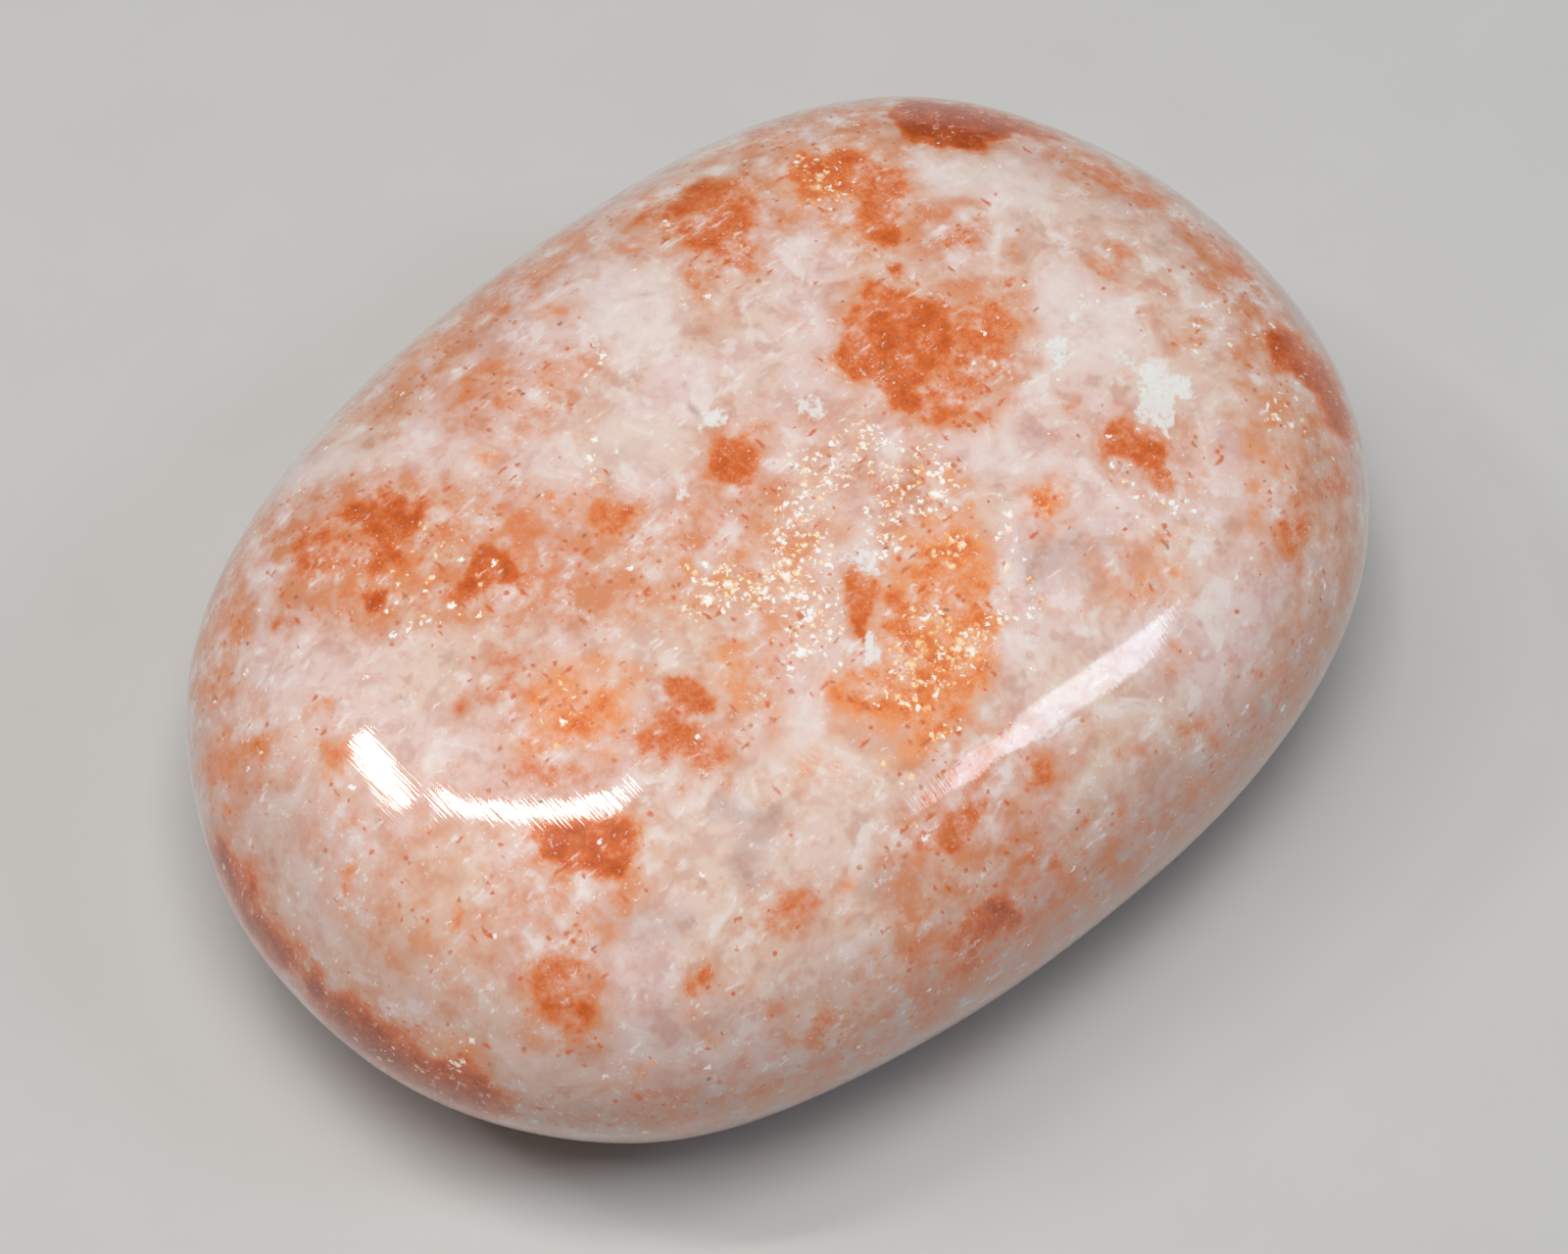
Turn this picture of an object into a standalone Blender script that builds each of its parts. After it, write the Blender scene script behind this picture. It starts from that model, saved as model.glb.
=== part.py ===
"""A polished sunstone palm stone: one solid oval pebble with full shoulders, lying on the flat worn under it."""

import math

import bmesh
import bpy
from mathutils import Vector

# Overall sizes, in metres, along X, Y and Z
LENGTH = 0.0620
WIDTH = 0.0455
THICKNESS = 0.0237

# How square the oval is in plan and how full its shoulders are. An ellipse would be 2
PLAN_POWER = 2.44
SHOULDER_POWER = 2.6

# The share by which the width grows towards +X, and by which the ends lean towards -Y
TAPER = 0.037
LEAN = -0.010

# Each soft flat that the grinding wheel left: its heading round the stone from +X and its tilt from
# straight up, both in degrees, and how deep it goes
GROUND_FLATS = (
    (-46, 93, 0.00013),
    (-103, 117, 0.00033),
    (-147, 120, 0.00031),
    (151, 98, 0.00062),
    (85, 65, 0.00034),
    (22, 62, 0.00056),
)
FLAT_BLEND = 0.00035

# How much of the rounded underside is worn away to the flat that the stone lies on
BASE_WEAR = 0.00030

# Strips that the starting block is cut into along X, Y and Z
STRIPS = (36, 26, 14)

HALF_SIZES = Vector((LENGTH, WIDTH, THICKNESS)) / 2

# The stone's own average colour, a pale salmon pink, and its polish
SALMON = (0.60, 0.35, 0.26)
POLISH_ROUGHNESS = 0.12
FELDSPAR_IOR = 1.54


def clear_scene():
    """Removes the objects that the scene starts with."""
    for obj in list(bpy.data.objects):
        bpy.data.objects.remove(obj)


def cut_block():
    """A cube cut into strips on each side, spaced so that they come out even once it is round."""
    block = bmesh.new()
    bmesh.ops.create_cube(block, size=2)
    for axis, strips in enumerate(STRIPS):
        normal = Vector((0, 0, 0))
        normal[axis] = 1
        for strip in range(1, strips):
            place = math.tan((2 * strip / strips - 1) * math.pi / 4)
            whole = [*block.verts, *block.edges, *block.faces]
            bmesh.ops.bisect_plane(block, geom=whole, plane_co=normal * place, plane_no=normal)
    return block


def rounded(corner):
    """The point of the plain oval pillow that a point of the block goes to."""
    out = corner.normalized()
    plan = abs(out.x) ** PLAN_POWER + abs(out.y) ** PLAN_POWER
    reach = plan ** (SHOULDER_POWER / PLAN_POWER) + abs(out.z) ** SHOULDER_POWER
    return out * HALF_SIZES * reach ** (-1 / SHOULDER_POWER)


def tapered(point):
    """The point with the broad end at +X made wider, and both ends leaned to one side."""
    along = point.x / HALF_SIZES.x
    return Vector((point.x, point.y * (1 + TAPER * along) + LEAN * HALF_SIZES.y * along**2, point.z))


def grind(stone, heading, tilt, depth):
    """Takes one soft flat off the stone, blended into the shape around it."""
    turn, lean = math.radians(heading), math.radians(tilt)
    facing = Vector((math.cos(turn) * math.sin(lean), math.sin(turn) * math.sin(lean), math.cos(lean)))
    flat_height = max(vert.co.dot(facing) for vert in stone.verts) - depth
    for vert in stone.verts:
        over = vert.co.dot(facing) - flat_height
        vert.co -= facing * (over + math.hypot(over, FLAT_BLEND)) / 2


def wear_base(stone):
    """Cuts the underside to one flat face."""
    lowest = min(vert.co.z for vert in stone.verts)
    whole = [*stone.verts, *stone.edges, *stone.faces]
    cut = bmesh.ops.bisect_plane(
        stone, geom=whole, plane_co=(0, 0, lowest + BASE_WEAR), plane_no=(0, 0, -1), clear_outer=True
    )
    rim = [part for part in cut["geom_cut"] if isinstance(part, bmesh.types.BMEdge)]
    bmesh.ops.edgeloop_fill(stone, edges=rim)


def box_corner(stone, pick):
    """The lowest corner of the box around the stone with min, or the highest with max."""
    return Vector([pick(vert.co[axis] for vert in stone.verts) for axis in range(3)])


def bring_to_size(stone):
    """Scales the stone to its overall sizes and sets the middle of its underside on the origin."""
    low = box_corner(stone, min)
    high = box_corner(stone, max)
    size = high - low
    foot = Vector(((low.x + high.x) / 2, (low.y + high.y) / 2, low.z))
    scale = Vector((LENGTH / size.x, WIDTH / size.y, THICKNESS / size.z))
    for vert in stone.verts:
        vert.co = (vert.co - foot) * scale


def polished_sunstone():
    """The stone's material: pale salmon feldspar under a high polish."""
    material = bpy.data.materials.new("sunstone")
    material.use_nodes = True
    shader = material.node_tree.nodes["Principled BSDF"]
    shader.inputs["Base Color"].default_value = (*SALMON, 1)
    shader.inputs["Roughness"].default_value = POLISH_ROUGHNESS
    shader.inputs["Metallic"].default_value = 0
    shader.inputs["IOR"].default_value = FELDSPAR_IOR
    return material


def make_stone():
    """Shapes the block into the stone and puts it in the scene."""
    stone = cut_block()
    for vert in stone.verts:
        vert.co = tapered(rounded(vert.co))
    for heading, tilt, depth in GROUND_FLATS:
        grind(stone, heading, tilt, depth)
    wear_base(stone)
    bring_to_size(stone)
    bmesh.ops.recalc_face_normals(stone, faces=stone.faces[:])
    mesh = bpy.data.meshes.new("sunstone")
    stone.to_mesh(mesh)
    stone.free()
    mesh.shade_smooth()
    mesh.set_sharp_from_angle(angle=math.radians(30))
    mesh.materials.append(polished_sunstone())
    bpy.context.scene.collection.objects.link(bpy.data.objects.new("sunstone", mesh))


clear_scene()
make_stone()
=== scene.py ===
import math

import bmesh
import bpy
import numpy as np
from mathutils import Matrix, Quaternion, Vector, noise


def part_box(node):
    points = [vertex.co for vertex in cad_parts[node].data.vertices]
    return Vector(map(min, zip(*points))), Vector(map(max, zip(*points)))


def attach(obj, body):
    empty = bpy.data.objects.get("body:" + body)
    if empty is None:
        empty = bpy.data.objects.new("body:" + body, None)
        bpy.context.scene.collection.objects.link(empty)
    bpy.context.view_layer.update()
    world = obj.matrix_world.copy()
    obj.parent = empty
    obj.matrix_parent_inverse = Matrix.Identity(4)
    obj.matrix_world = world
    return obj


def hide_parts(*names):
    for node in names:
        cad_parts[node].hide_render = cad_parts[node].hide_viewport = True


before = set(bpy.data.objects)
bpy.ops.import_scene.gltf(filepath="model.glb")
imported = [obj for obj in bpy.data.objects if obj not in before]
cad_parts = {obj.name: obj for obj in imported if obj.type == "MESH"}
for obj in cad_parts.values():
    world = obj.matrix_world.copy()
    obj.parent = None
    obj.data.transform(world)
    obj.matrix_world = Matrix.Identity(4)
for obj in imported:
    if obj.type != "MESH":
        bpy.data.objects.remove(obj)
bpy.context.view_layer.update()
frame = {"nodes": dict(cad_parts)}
mm = 0.001
bpy.ops.object.select_all(action="DESELECT")  # the loaded solid comes in selected
print("frame loaded:", ", ".join(frame["nodes"]))

camera = {
    "turn": -42.2,  # degrees round the stone, 0 looks along +Y
    "height": 59.5,  # degrees up from the floor
    "distance": 280 * mm,
    "lens": 130.6,  # on a sensor 36 mm wide
    "stoneMiddle": Vector((0, 0, 11.7 * mm)),
    "aimAcross": 0.38 * mm,
    "aimUp": -1.02 * mm,
}


def viewAxes(turn, height):
    turn, height = math.radians(turn), math.radians(height)
    back = Vector((math.sin(turn) * math.cos(height), -math.cos(turn) * math.cos(height), math.sin(height)))
    across = Vector((math.cos(turn), math.sin(turn), 0))
    return across, back.cross(across), back


across, up, back = viewAxes(camera["turn"], camera["height"])
aim = camera["stoneMiddle"] + across * camera["aimAcross"] + up * camera["aimUp"]
eye = aim + back * camera["distance"]
bpy.ops.object.camera_add(location=eye, rotation=back.to_track_quat("Z", "Y").to_euler())
photoCamera = bpy.context.object
photoCamera.name = "photoCamera"
photoCamera.data.lens = camera["lens"]
photoCamera.data.clip_start = 10 * mm
bpy.context.scene.camera = photoCamera
bpy.context.scene.view_settings.view_transform = "Standard"
print("camera set", round(camera["distance"] / mm), "mm away")


def linear(hexColour):  # sRGB hex to the linear colour that Blender works in
    parts = [int(hexColour[i:i + 2], 16) / 255 for i in (0, 2, 4)]
    return (*(c / 12.92 if c <= 0.04045 else ((c + 0.055) / 1.055) ** 2.4 for c in parts), 1)


# two lamps on the left throw the bent white highlight and a strip on the right the broad pale one, and a
# wide soft light overhead, which the polish doesn't mirror, shades the stone
lamps = {
    "leftTube": {"heading": 174.5, "height": 70.8, "roll": 15, "away": 600 * mm, "wide": 28 * mm,
                 "long": 262 * mm, "watts": 0.60, "colour": "ffffff", "mirrored": True},
    "leftPane": {"heading": 177.4, "height": 51, "roll": 24, "away": 600 * mm, "wide": 92 * mm,
                 "long": 50 * mm, "watts": 0.36, "colour": "ffffff", "mirrored": True},
    "rightStrip": {"heading": -13, "height": 47, "roll": 36, "away": 600 * mm, "wide": 105 * mm,
                   "long": 205 * mm, "watts": 0.47, "colour": "d2ebff", "mirrored": True},
    "softKey": {"heading": -90, "height": 80, "roll": 0, "away": 900 * mm, "wide": 400 * mm,
                "long": 400 * mm, "watts": 5.6, "colour": "fffdf8", "mirrored": False},
}


def addLamp(name, lamp):
    # heading runs round from the right of the picture, seen from above
    turn, height = math.radians(lamp["heading"] + camera["turn"]), math.radians(lamp["height"])
    toLamp = Vector((math.cos(turn) * math.cos(height), math.sin(turn) * math.cos(height), math.sin(height)))
    turned = toLamp.to_track_quat("Z", "Y") @ Quaternion((0, 0, 1), math.radians(lamp["roll"]))
    bpy.ops.object.light_add(type="AREA", location=camera["stoneMiddle"] + toLamp * lamp["away"],
                             rotation=turned.to_euler())
    made = bpy.context.object
    made.name = name
    made.data.shape = "RECTANGLE"
    made.data.size = lamp["wide"]
    made.data.size_y = lamp["long"]
    made.data.energy = lamp["watts"]
    made.data.color = linear(lamp["colour"])[:3]
    made.visible_glossy = lamp["mirrored"]


for name, lamp in lamps.items():
    addLamp(name, lamp)

room = {"colour": "e8e6e4", "strength": 0.05}
bpy.context.scene.world = bpy.data.worlds.new("room")
bpy.context.scene.world.use_nodes = True
sky = bpy.context.scene.world.node_tree.nodes["Background"]
sky.inputs["Color"].default_value = linear(room["colour"])
sky.inputs["Strength"].default_value = room["strength"]
print("lamps lit:", ", ".join(lamps))


def put(tree, kind, inputs, out=0, stops=(), **settings):
    # adds a node with its settings, fills its inputs with values or links, and gives back one output; stops
    # are a colour ramp's places and colours
    made = tree.nodes.new("ShaderNode" + kind)
    for setting, value in settings.items():
        setattr(made, setting, value)
    for i, (spot, hexColour) in enumerate(stops):
        stop = made.color_ramp.elements[i] if i < 2 else made.color_ramp.elements.new(spot)
        stop.position = spot
        stop.color = linear(hexColour)
    for socket, value in inputs.items():
        if isinstance(value, bpy.types.NodeSocket):
            tree.links.new(value, made.inputs[socket])
        else:
            made.inputs[socket].default_value = value
    return made.outputs[out]


# matt painted board: faint mottling keeps it from looking like a render's empty plane
floorBoard = {"size": 4.0, "light": "cbcac9", "dark": "c5c4c3", "mottleMm": 9, "roughness": 0.65}


def mattBoard(name):
    material = bpy.data.materials.new(name)
    material.use_nodes = True
    tree = material.node_tree
    shader = tree.nodes["Principled BSDF"]
    spot = put(tree, "TexCoord", {}, out="Object")
    mottle = put(tree, "TexNoise", {"Vector": spot, "Scale": 1 / mm / floorBoard["mottleMm"], "Detail": 4})
    colour = put(tree, "Mix", {0: mottle, 6: linear(floorBoard["dark"]), 7: linear(floorBoard["light"])},
                 out=2, data_type="RGBA")
    tree.links.new(colour, shader.inputs["Base Color"])
    shader.inputs["Roughness"].default_value = floorBoard["roughness"]
    return material


bpy.ops.mesh.primitive_plane_add(size=floorBoard["size"])
floor = bpy.context.object
floor.name = "floor"
floor.data.materials.append(mattBoard("mattPaintedBoard"))

stone = {
    "name": "polishedSunstone",
    "quads": (23, 17, 9),  # along X, Y and Z, before the surface is smoothed
    "relax": 4,
    "relaxBy": 0.5,
    "levels": 3,
    "swellMm": 7.0,  # width of the slow swells that hand polishing leaves
    "swellHigh": 0.05 * mm,
    "restHigh": 0.06 * mm,  # what lies lower than this goes flat on the floor
}


# small hollows and swells left by the polishing, in mm across and up the photograph's view: where, how wide
# and how deep each one is; a swell's depth is below zero
hollows = [
    ((-9.2, -8), 1.0, -0.008), ((-14.2, -8.3), 0.8, -0.008), ((-12, -9.6), 0.7, 0.006),
    ((10.8, -5.9), 1.5, -0.024), ((8.6, -7.6), 1.4, -0.020), ((20.8, -1.2), 1.6, 0.012),
    ((-19.6, -7), 1.0, 0.006),
    ((4.5, -0.8), 0.7, 0.030), ((18.6, 11.4), 1.5, 0.030), ((1.1, 10.7), 0.7, 0.025),
    ((13.6, 13.5), 0.7, 0.025), ((-3.4, 10.2), 0.7, 0.020), ((-5, 6.7), 0.6, 0.020),
    ((-4.2, -3.5), 0.8, 0.020), ((-9.7, 11.6), 0.5, 0.030), ((-23.1, -11.7), 0.8, 0.035),
    ((-18.3, -19.8), 0.6, 0.030), ((18.7, 19), 0.5, 0.025), ((-13.8, -20.3), 0.9, 0.025),
    ((5, -12.6), 1.2, 0.020), ((22, 4.4), 1.0, 0.015), ((-25.6, -2.3), 0.7, 0.020),
]


def selectEdgesAlong(axis):
    mesh = bmesh.from_edit_mesh(bpy.context.object.data)
    for edge in mesh.edges:
        run = edge.verts[1].co - edge.verts[0].co
        edge.select_set(abs(run[axis]) > 0.9 * run.length)
    bmesh.update_edit_mesh(bpy.context.object.data)


def addModifier(obj, kind, **settings):
    modifier = obj.modifiers.new(kind.lower(), kind)
    for setting, value in settings.items():
        setattr(modifier, setting, value)
    bpy.ops.object.modifier_apply(modifier=modifier.name)


def pointsOf(obj):
    flat = np.zeros(3 * len(obj.data.vertices), np.float32)
    obj.data.vertices.foreach_get("co", flat)
    return flat.reshape(-1, 3).astype(float)


def normalsOf(obj):
    flat = np.zeros(3 * len(obj.data.vertices), np.float32)
    obj.data.vertex_normals.foreach_get("vector", flat)
    return flat.reshape(-1, 3).astype(float)


def pictureSpots(points, turn, height, seenFrom):
    # each point of the stone, in mm across and up in a view of it
    across, up, back = (np.array(axis) for axis in viewAxes(turn, height))
    if seenFrom is None:
        away = points - np.array(camera["stoneMiddle"])
        return np.stack([away @ across, away @ up], 1) / mm, back
    away = points - np.array(seenFrom)
    depth = -(away @ back)
    return np.stack([away @ across, away @ up], 1) * (camera["distance"] / depth / mm)[:, None], back


def smooth(value, low, high):
    value = np.clip((value - low) / (high - low), 0, 1)
    return value * value * (3 - 2 * value)


def pressHollows(obj):
    points, normals = pointsOf(obj), normalsOf(obj)
    spots, towards = pictureSpots(points, camera["turn"], camera["height"], eye)
    faces = smooth(normals @ towards, 0, 0.3)
    for middle, wide, deep in hollows:
        away = np.linalg.norm(spots - np.array(middle), axis=1)
        points -= normals * (smooth(away, wide, 0) * faces * deep * mm)[:, None]
    obj.data.vertices.foreach_set("co", points.astype(np.float32).ravel())
    obj.data.update()


def modelStone():
    low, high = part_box("sunstone")
    size = high - low
    # a cube cut into even quads, blown up to a ball and pulled to the stone's own sizes
    bpy.ops.object.select_all(action="DESELECT")
    bpy.ops.mesh.primitive_cube_add(size=2)
    obj = bpy.context.object
    obj.name = stone["name"]
    bpy.ops.object.mode_set(mode="EDIT")
    bpy.ops.mesh.select_mode(type="EDGE")
    for axis, quads in enumerate(stone["quads"]):
        bpy.ops.mesh.select_all(action="DESELECT")
        selectEdgesAlong(axis)
        bpy.ops.mesh.subdivide(number_cuts=quads - 1)
    bpy.ops.mesh.select_all(action="SELECT")
    bpy.ops.transform.tosphere(value=1)
    bpy.ops.object.mode_set(mode="OBJECT")
    radius = np.linalg.norm(pointsOf(obj), axis=1).mean()
    obj.scale = size / (2 * radius)
    obj.location = (low + high) / 2
    bpy.ops.object.transform_apply()
    # pulled onto the solid, relaxed and smoothed, with the slow swells of a hand polish
    addModifier(obj, "SHRINKWRAP", target=frame["nodes"]["sunstone"], wrap_method="NEAREST_SURFACEPOINT")
    addModifier(obj, "SMOOTH", factor=stone["relaxBy"], iterations=stone["relax"])
    addModifier(obj, "SUBSURF", levels=stone["levels"], render_levels=stone["levels"])
    swells = bpy.data.textures.new("swells", "CLOUDS")
    swells.noise_scale = stone["swellMm"] * mm
    addModifier(obj, "DISPLACE", texture=swells, strength=stone["swellHigh"], texture_coords="LOCAL")
    pressHollows(obj)
    # brought back to the solid's sizes, with its underside flat on the floor
    spots = pointsOf(obj)
    made = Vector(spots.max(0) - spots.min(0))
    obj.scale = [size[i] / made[i] for i in range(3)]
    obj.location = [(low[i] + high[i]) / 2 - obj.scale[i] * (spots[:, i].max() + spots[:, i].min()) / 2
                    for i in range(3)]
    bpy.ops.object.transform_apply()
    for vert in obj.data.vertices:
        if vert.co.z < stone["restHigh"]:
            vert.co.z = 0
    obj.data.shade_smooth()
    return obj


stoneObj = modelStone()
print("stone shaped:", len(stoneObj.data.polygons), "faces")

# The stone's marks, in mm across and up from the middle of the photograph's view, laid on the stone from
# there. A mark is its strength, its tone (0 brown, 1 orange), half its width where it is a stroke or a dot
# and 0 where its points are an outline, the width of its soft edge, and its points
rustAndShadeMarks = [
    # the rim and the face at the top left
    (0.6, 0.4, 0, 0.3, [(-12.4, 18.5), (-10, 20), (-10, 19.3), (-11.5, 18.7)]),
    (0.5, 0.1, 0, 0.3, [(-15.6, 16.1), (-14.2, 17.2), (-13.2, 17.6), (-13.4, 16.9), (-14.6, 16.2)]),
    (0.25, 0.3, 0.3, 0.4, [(-13, 17.6), (-10.2, 18)]),
    (0.35, 0.3, 0, 0.4, [(-17, 15), (-15, 15.9), (-13.2, 15.9), (-13.4, 15.4), (-15.6, 15)]),
    (0.4, 0.7, 0, 0.3, [(-12.7, 15.6), (-11.2, 16.2), (-10.5, 15.6), (-11.8, 14.9), (-12.6, 15.1)]),
    (0.45, 0.5, 0.25, 0.3, [(-18.6, 13.2), (-17.2, 13.9)]),
    (0.5, 0.5, 0.2, 0.2, [(-16.6, 12.6)]),
    (0.3, 0.3, 0.9, 0.6, [(-15.3, 12.7), (-13.7, 12.7)]),
    # the left
    (0.55, 0.2, 0, 0.3, [(-22, 10.6), (-20.2, 12), (-19.9, 11.7), (-21.6, 10.4)]),
    (0.45, 0.4, 0.2, 0.3, [(-20, 10.1)]),
    (0.4, 0.4, 0.2, 0.3, [(-19.2, 9.9)]),
    (0.25, 0.4, 0.2, 0.3, [(-22, 9.8), (-20, 9)]),
    (0.35, 0.2, 0, 0.5, [(-16.5, 10.6), (-15.6, 11.8), (-14, 12.4), (-12, 12.3), (-11.6, 11.5), (-13.6, 10.6),
        (-15, 10.3)]),
    (0.6, 1, 0.2, 0.3, [(-13, 11.3), (-11.6, 12.2)]),
    (0.5, 0.9, 0.2, 0.3, [(-15.3, 8.6), (-14.2, 8.6)]),
    (0.85, 0, 0.25, 0.2, [(-10.6, 10.8)]),
    (0.9, 0.3, 0, 0.5, [(-19.6, 7.2), (-19, 6.5), (-17.9, 6.4), (-17.5, 5.9), (-18, 4.6), (-18.5, 4.2),
        (-18.4, 3), (-19.8, 3), (-20.6, 3.4), (-20.4, 4.4), (-21.8, 4.8), (-22.4, 5.3), (-21.8, 5.8),
        (-20.6, 6.2)]),
    (0.9, 0.3, 0.5, 0.5, [(-18.3, 6), (-19, 4), (-20, 3)]),
    (0.95, 0.2, 0, 0.3, [(-20.6, 2), (-19.3, 1.9), (-19.5, 1.2), (-20.3, 0.4), (-20.7, 0.9)]),
    (0.6, 1, 0.3, 0.4, [(-20, 2.2), (-18.8, 3)]),
    (0.72, 0.3, 0, 0.8, [(-24, 4.9), (-22.6, 5.4), (-21.8, 4.6), (-21, 3.6), (-21.4, 2.6), (-23, 2.3),
        (-24.4, 2.8), (-24.2, 4)]),
    (0.88, 0.4, 0, 0.5, [(-16.2, 2.4), (-15.4, 3.8), (-14.6, 4.2), (-13.6, 3.8), (-13, 3), (-12.3, 2.3),
        (-12.1, 1.9), (-13.2, 1.5), (-14.6, 1.7), (-15.6, 1), (-16.6, 0.9), (-16.9, 1.6)]),
    (0.9, 0.3, 0.35, 0.4, [(-14.9, 2.1), (-14.1, 2.1)]),
    (0.45, 0.4, 0, 0.5, [(-17.8, 5.6), (-16, 5.5), (-15.6, 4.9), (-16.6, 4.5), (-17.6, 4.6)]),
    (0.5, 0.1, 0.5, 0.4, [(-13.4, 7), (-13, 7)]),
    (0.4, 0.3, 0.55, 0.4, [(-13.2, 5.4), (-12.6, 5.4)]),
    (0.45, 0.9, 0.25, 0.3, [(-12, 6.5), (-10.3, 6.4)]),
    (0.45, 0.3, 0.35, 0.4, [(-20.2, 0.3), (-18.6, 1.2)]),
    (0.8, 0.1, 0.2, 0.2, [(-24.7, 0)]),
    (0.6, 0, 0.2, 0.2, [(-23.2, 0.7)]),
    (0.5, 0.4, 0.5, 0.4, [(-27.1, -0.4), (-26.9, -0.4)]),
    (0.5, 0.4, 0.25, 0.3, [(-27.6, -0.8)]),
    (0.4, 0.4, 0.2, 0.3, [(-26, 3), (-25, 3.6)]),
    (0.5, 0.1, 0.5, 0.4, [(-11, 0.7)]),
    (0.5, 0.2, 0.15, 0.2, [(-16.2, -0.1)]),
    (0.5, 0.2, 0.15, 0.2, [(-15.6, -0.4)]),
    (0.36, 0.3, 0, 1.2, [(-22, 3.4), (-20, 6.6), (-16, 6.8), (-11.6, 5.6), (-10, 3.6), (-10.6, 1.2),
        (-15, 0.4), (-20, 0.2), (-22.4, 1.4)]),
    # the top
    (1.1, 0.2, 0, 0.4, [(5.4, 24.6), (5.2, 25.2), (6, 25.9), (7.5, 26), (9.2, 25.7), (11, 25.1), (13, 24.4),
        (14, 24), (12.6, 24), (11.2, 24.1), (10.2, 23.8), (9, 23.5), (8, 23.4), (7, 23.8), (6, 23.9)]),
    (0.95, 0.3, 0.3, 0.4, [(6.6, 25.3), (8.2, 24.2), (11, 24.9)]),
    (0.4, 0.4, 0.35, 0.4, [(1.8, 25), (3.8, 25)]),
    (0.74, 0.7, 0, 0.35, [(0, 22.9), (0.8, 23.4), (1.8, 23.5), (2.3, 23.9), (3.4, 23.6), (4.6, 23.2),
        (5.8, 22.4), (6.3, 21.6), (5.9, 21.2), (5.8, 20), (5.7, 19), (5.3, 18.6), (4.4, 18.7), (3.8, 19.2),
        (3, 19.4), (3.4, 20.2), (3.5, 21.3), (2.8, 21.2), (1.6, 21), (0.6, 21.3), (0.2, 22)]),
    (0.85, 1, 0.8, 0.6, [(1.2, 22.6), (2, 22.6)]),
    (0.7, 0.3, 0.6, 0.5, [(4.9, 21.3), (5.1, 19.5)]),
    (0.7, 0.4, 0, 0.6, [(-7.8, 20.3), (-6, 21.2), (-4.6, 22), (-3, 22.2), (-1.8, 21.8), (-0.9, 20.8),
        (-1.4, 20), (-1.6, 19.2), (-1, 18.4), (-1.2, 17.6), (-2, 17.2), (-2.8, 17.6), (-3.6, 18.4),
        (-4.6, 18.6), (-5.4, 18.9), (-6.4, 19.4), (-7.6, 19.8)]),
    (0.75, 0.2, 0.5, 0.5, [(-4.8, 19.2), (-3.4, 18.9), (-2.4, 17.8)]),
    (0.75, 0.4, 0.5, 0.5, [(-4.4, 20.4), (-3.2, 20.8)]),
    (0.95, 0.6, 0.25, 0.2, [(-3.3, 20.4)]),
    (0.3, 0.4, 0.35, 0.4, [(-9, 18.8), (-7.2, 18.6)]),
    (0.4, 0.3, 0.5, 0.5, [(-4.6, 17.4), (-3.9, 16.3), (-3.5, 15.4)]),
    (0.75, 0.2, 0.45, 0.3, [(5.4, 17.6), (5.6, 17.6)]),
    (0.3, 0.3, 0, 0.7, [(6.5, 18), (9.5, 18), (9.5, 20.5), (6.5, 20.5)]),
    (0.5, 0.1, 0.4, 0.3, [(9.1, 18.8)]),
    (0.5, 0.1, 0.2, 0.2, [(7.9, 18.4)]),
    (0.5, 0.2, 0.2, 0.2, [(7, 20.2)]),
    # the strongest patch
    (0.8, 0.5, 0, 0.2, [(2.65, 13), (2.8, 14.2), (3, 15.4), (3.3, 16), (3.9, 16.6), (4.6, 16.9), (5.5, 16.6),
        (6.4, 16.6), (7.2, 16.3), (8.3, 15.7), (8.6, 14.6), (8.5, 13.6), (8.2, 13.2), (7.3, 12.4),
        (6.7, 11.2), (7, 10.2), (6.4, 10.2), (5.4, 10.7), (4.4, 11.8), (3.2, 12.4)]),
    (0.66, 0.5, 0, 0.35, [(8.3, 15.7), (9.6, 15.6), (10.3, 16.5), (10.7, 16.2), (11.6, 15.1), (11, 14.6),
        (11.2, 13.8), (10.9, 12.7), (10.2, 12), (9.6, 11.2), (8.4, 10.2), (7.3, 9.7), (7, 10.2), (6.7, 11.2),
        (7.3, 12.4), (8.2, 13.2), (8.5, 13.6), (8.6, 14.6)]),
    (1, 0.4, 0.4, 0.5, [(4.2, 13.4)]),
    (1, 0.4, 0.5, 0.5, [(7, 15.2)]),
    (1, 0.3, 0.4, 0.5, [(5.2, 12.2), (6.1, 11.5)]),
    (0.85, 0.2, 0.2, 0.2, [(8.9, 13.4)]),
    (0.85, 0.2, 0.2, 0.2, [(9.6, 12.2)]),
    # the top right and the right rim
    (0.65, 0.4, 0.45, 0.4, [(14.4, 23.2), (15.6, 22.5), (17, 21.7), (18.6, 20.8)]),
    (0.35, 0.3, 0, 0.5, [(14.6, 18.9), (16.4, 19.3), (17.2, 18.4), (17, 17.6), (15.8, 17.2), (14.8, 17.9)]),
    (0.45, 0.3, 0.15, 0.2, [(11.6, 19.2), (11.3, 18.2)]),
    (0.6, 0.4, 0.2, 0.3, [(11, 17.2), (11.4, 17.4)]),
    (0.6, 0.4, 0, 0.3, [(21.6, 18.6), (22.6, 18.2), (23.8, 17.3), (23.3, 16.9), (22.4, 16.8), (22, 17.4)]),
    (0.5, 0.5, 0.35, 0.3, [(20.7, 15.4), (20.9, 15.4)]),
    (0.6, 0.3, 0.15, 0.2, [(17.8, 15.1)]),
    (0.35, 0.4, 0.5, 0.4, [(19.7, 14.2), (20.3, 14.2)]),
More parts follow.
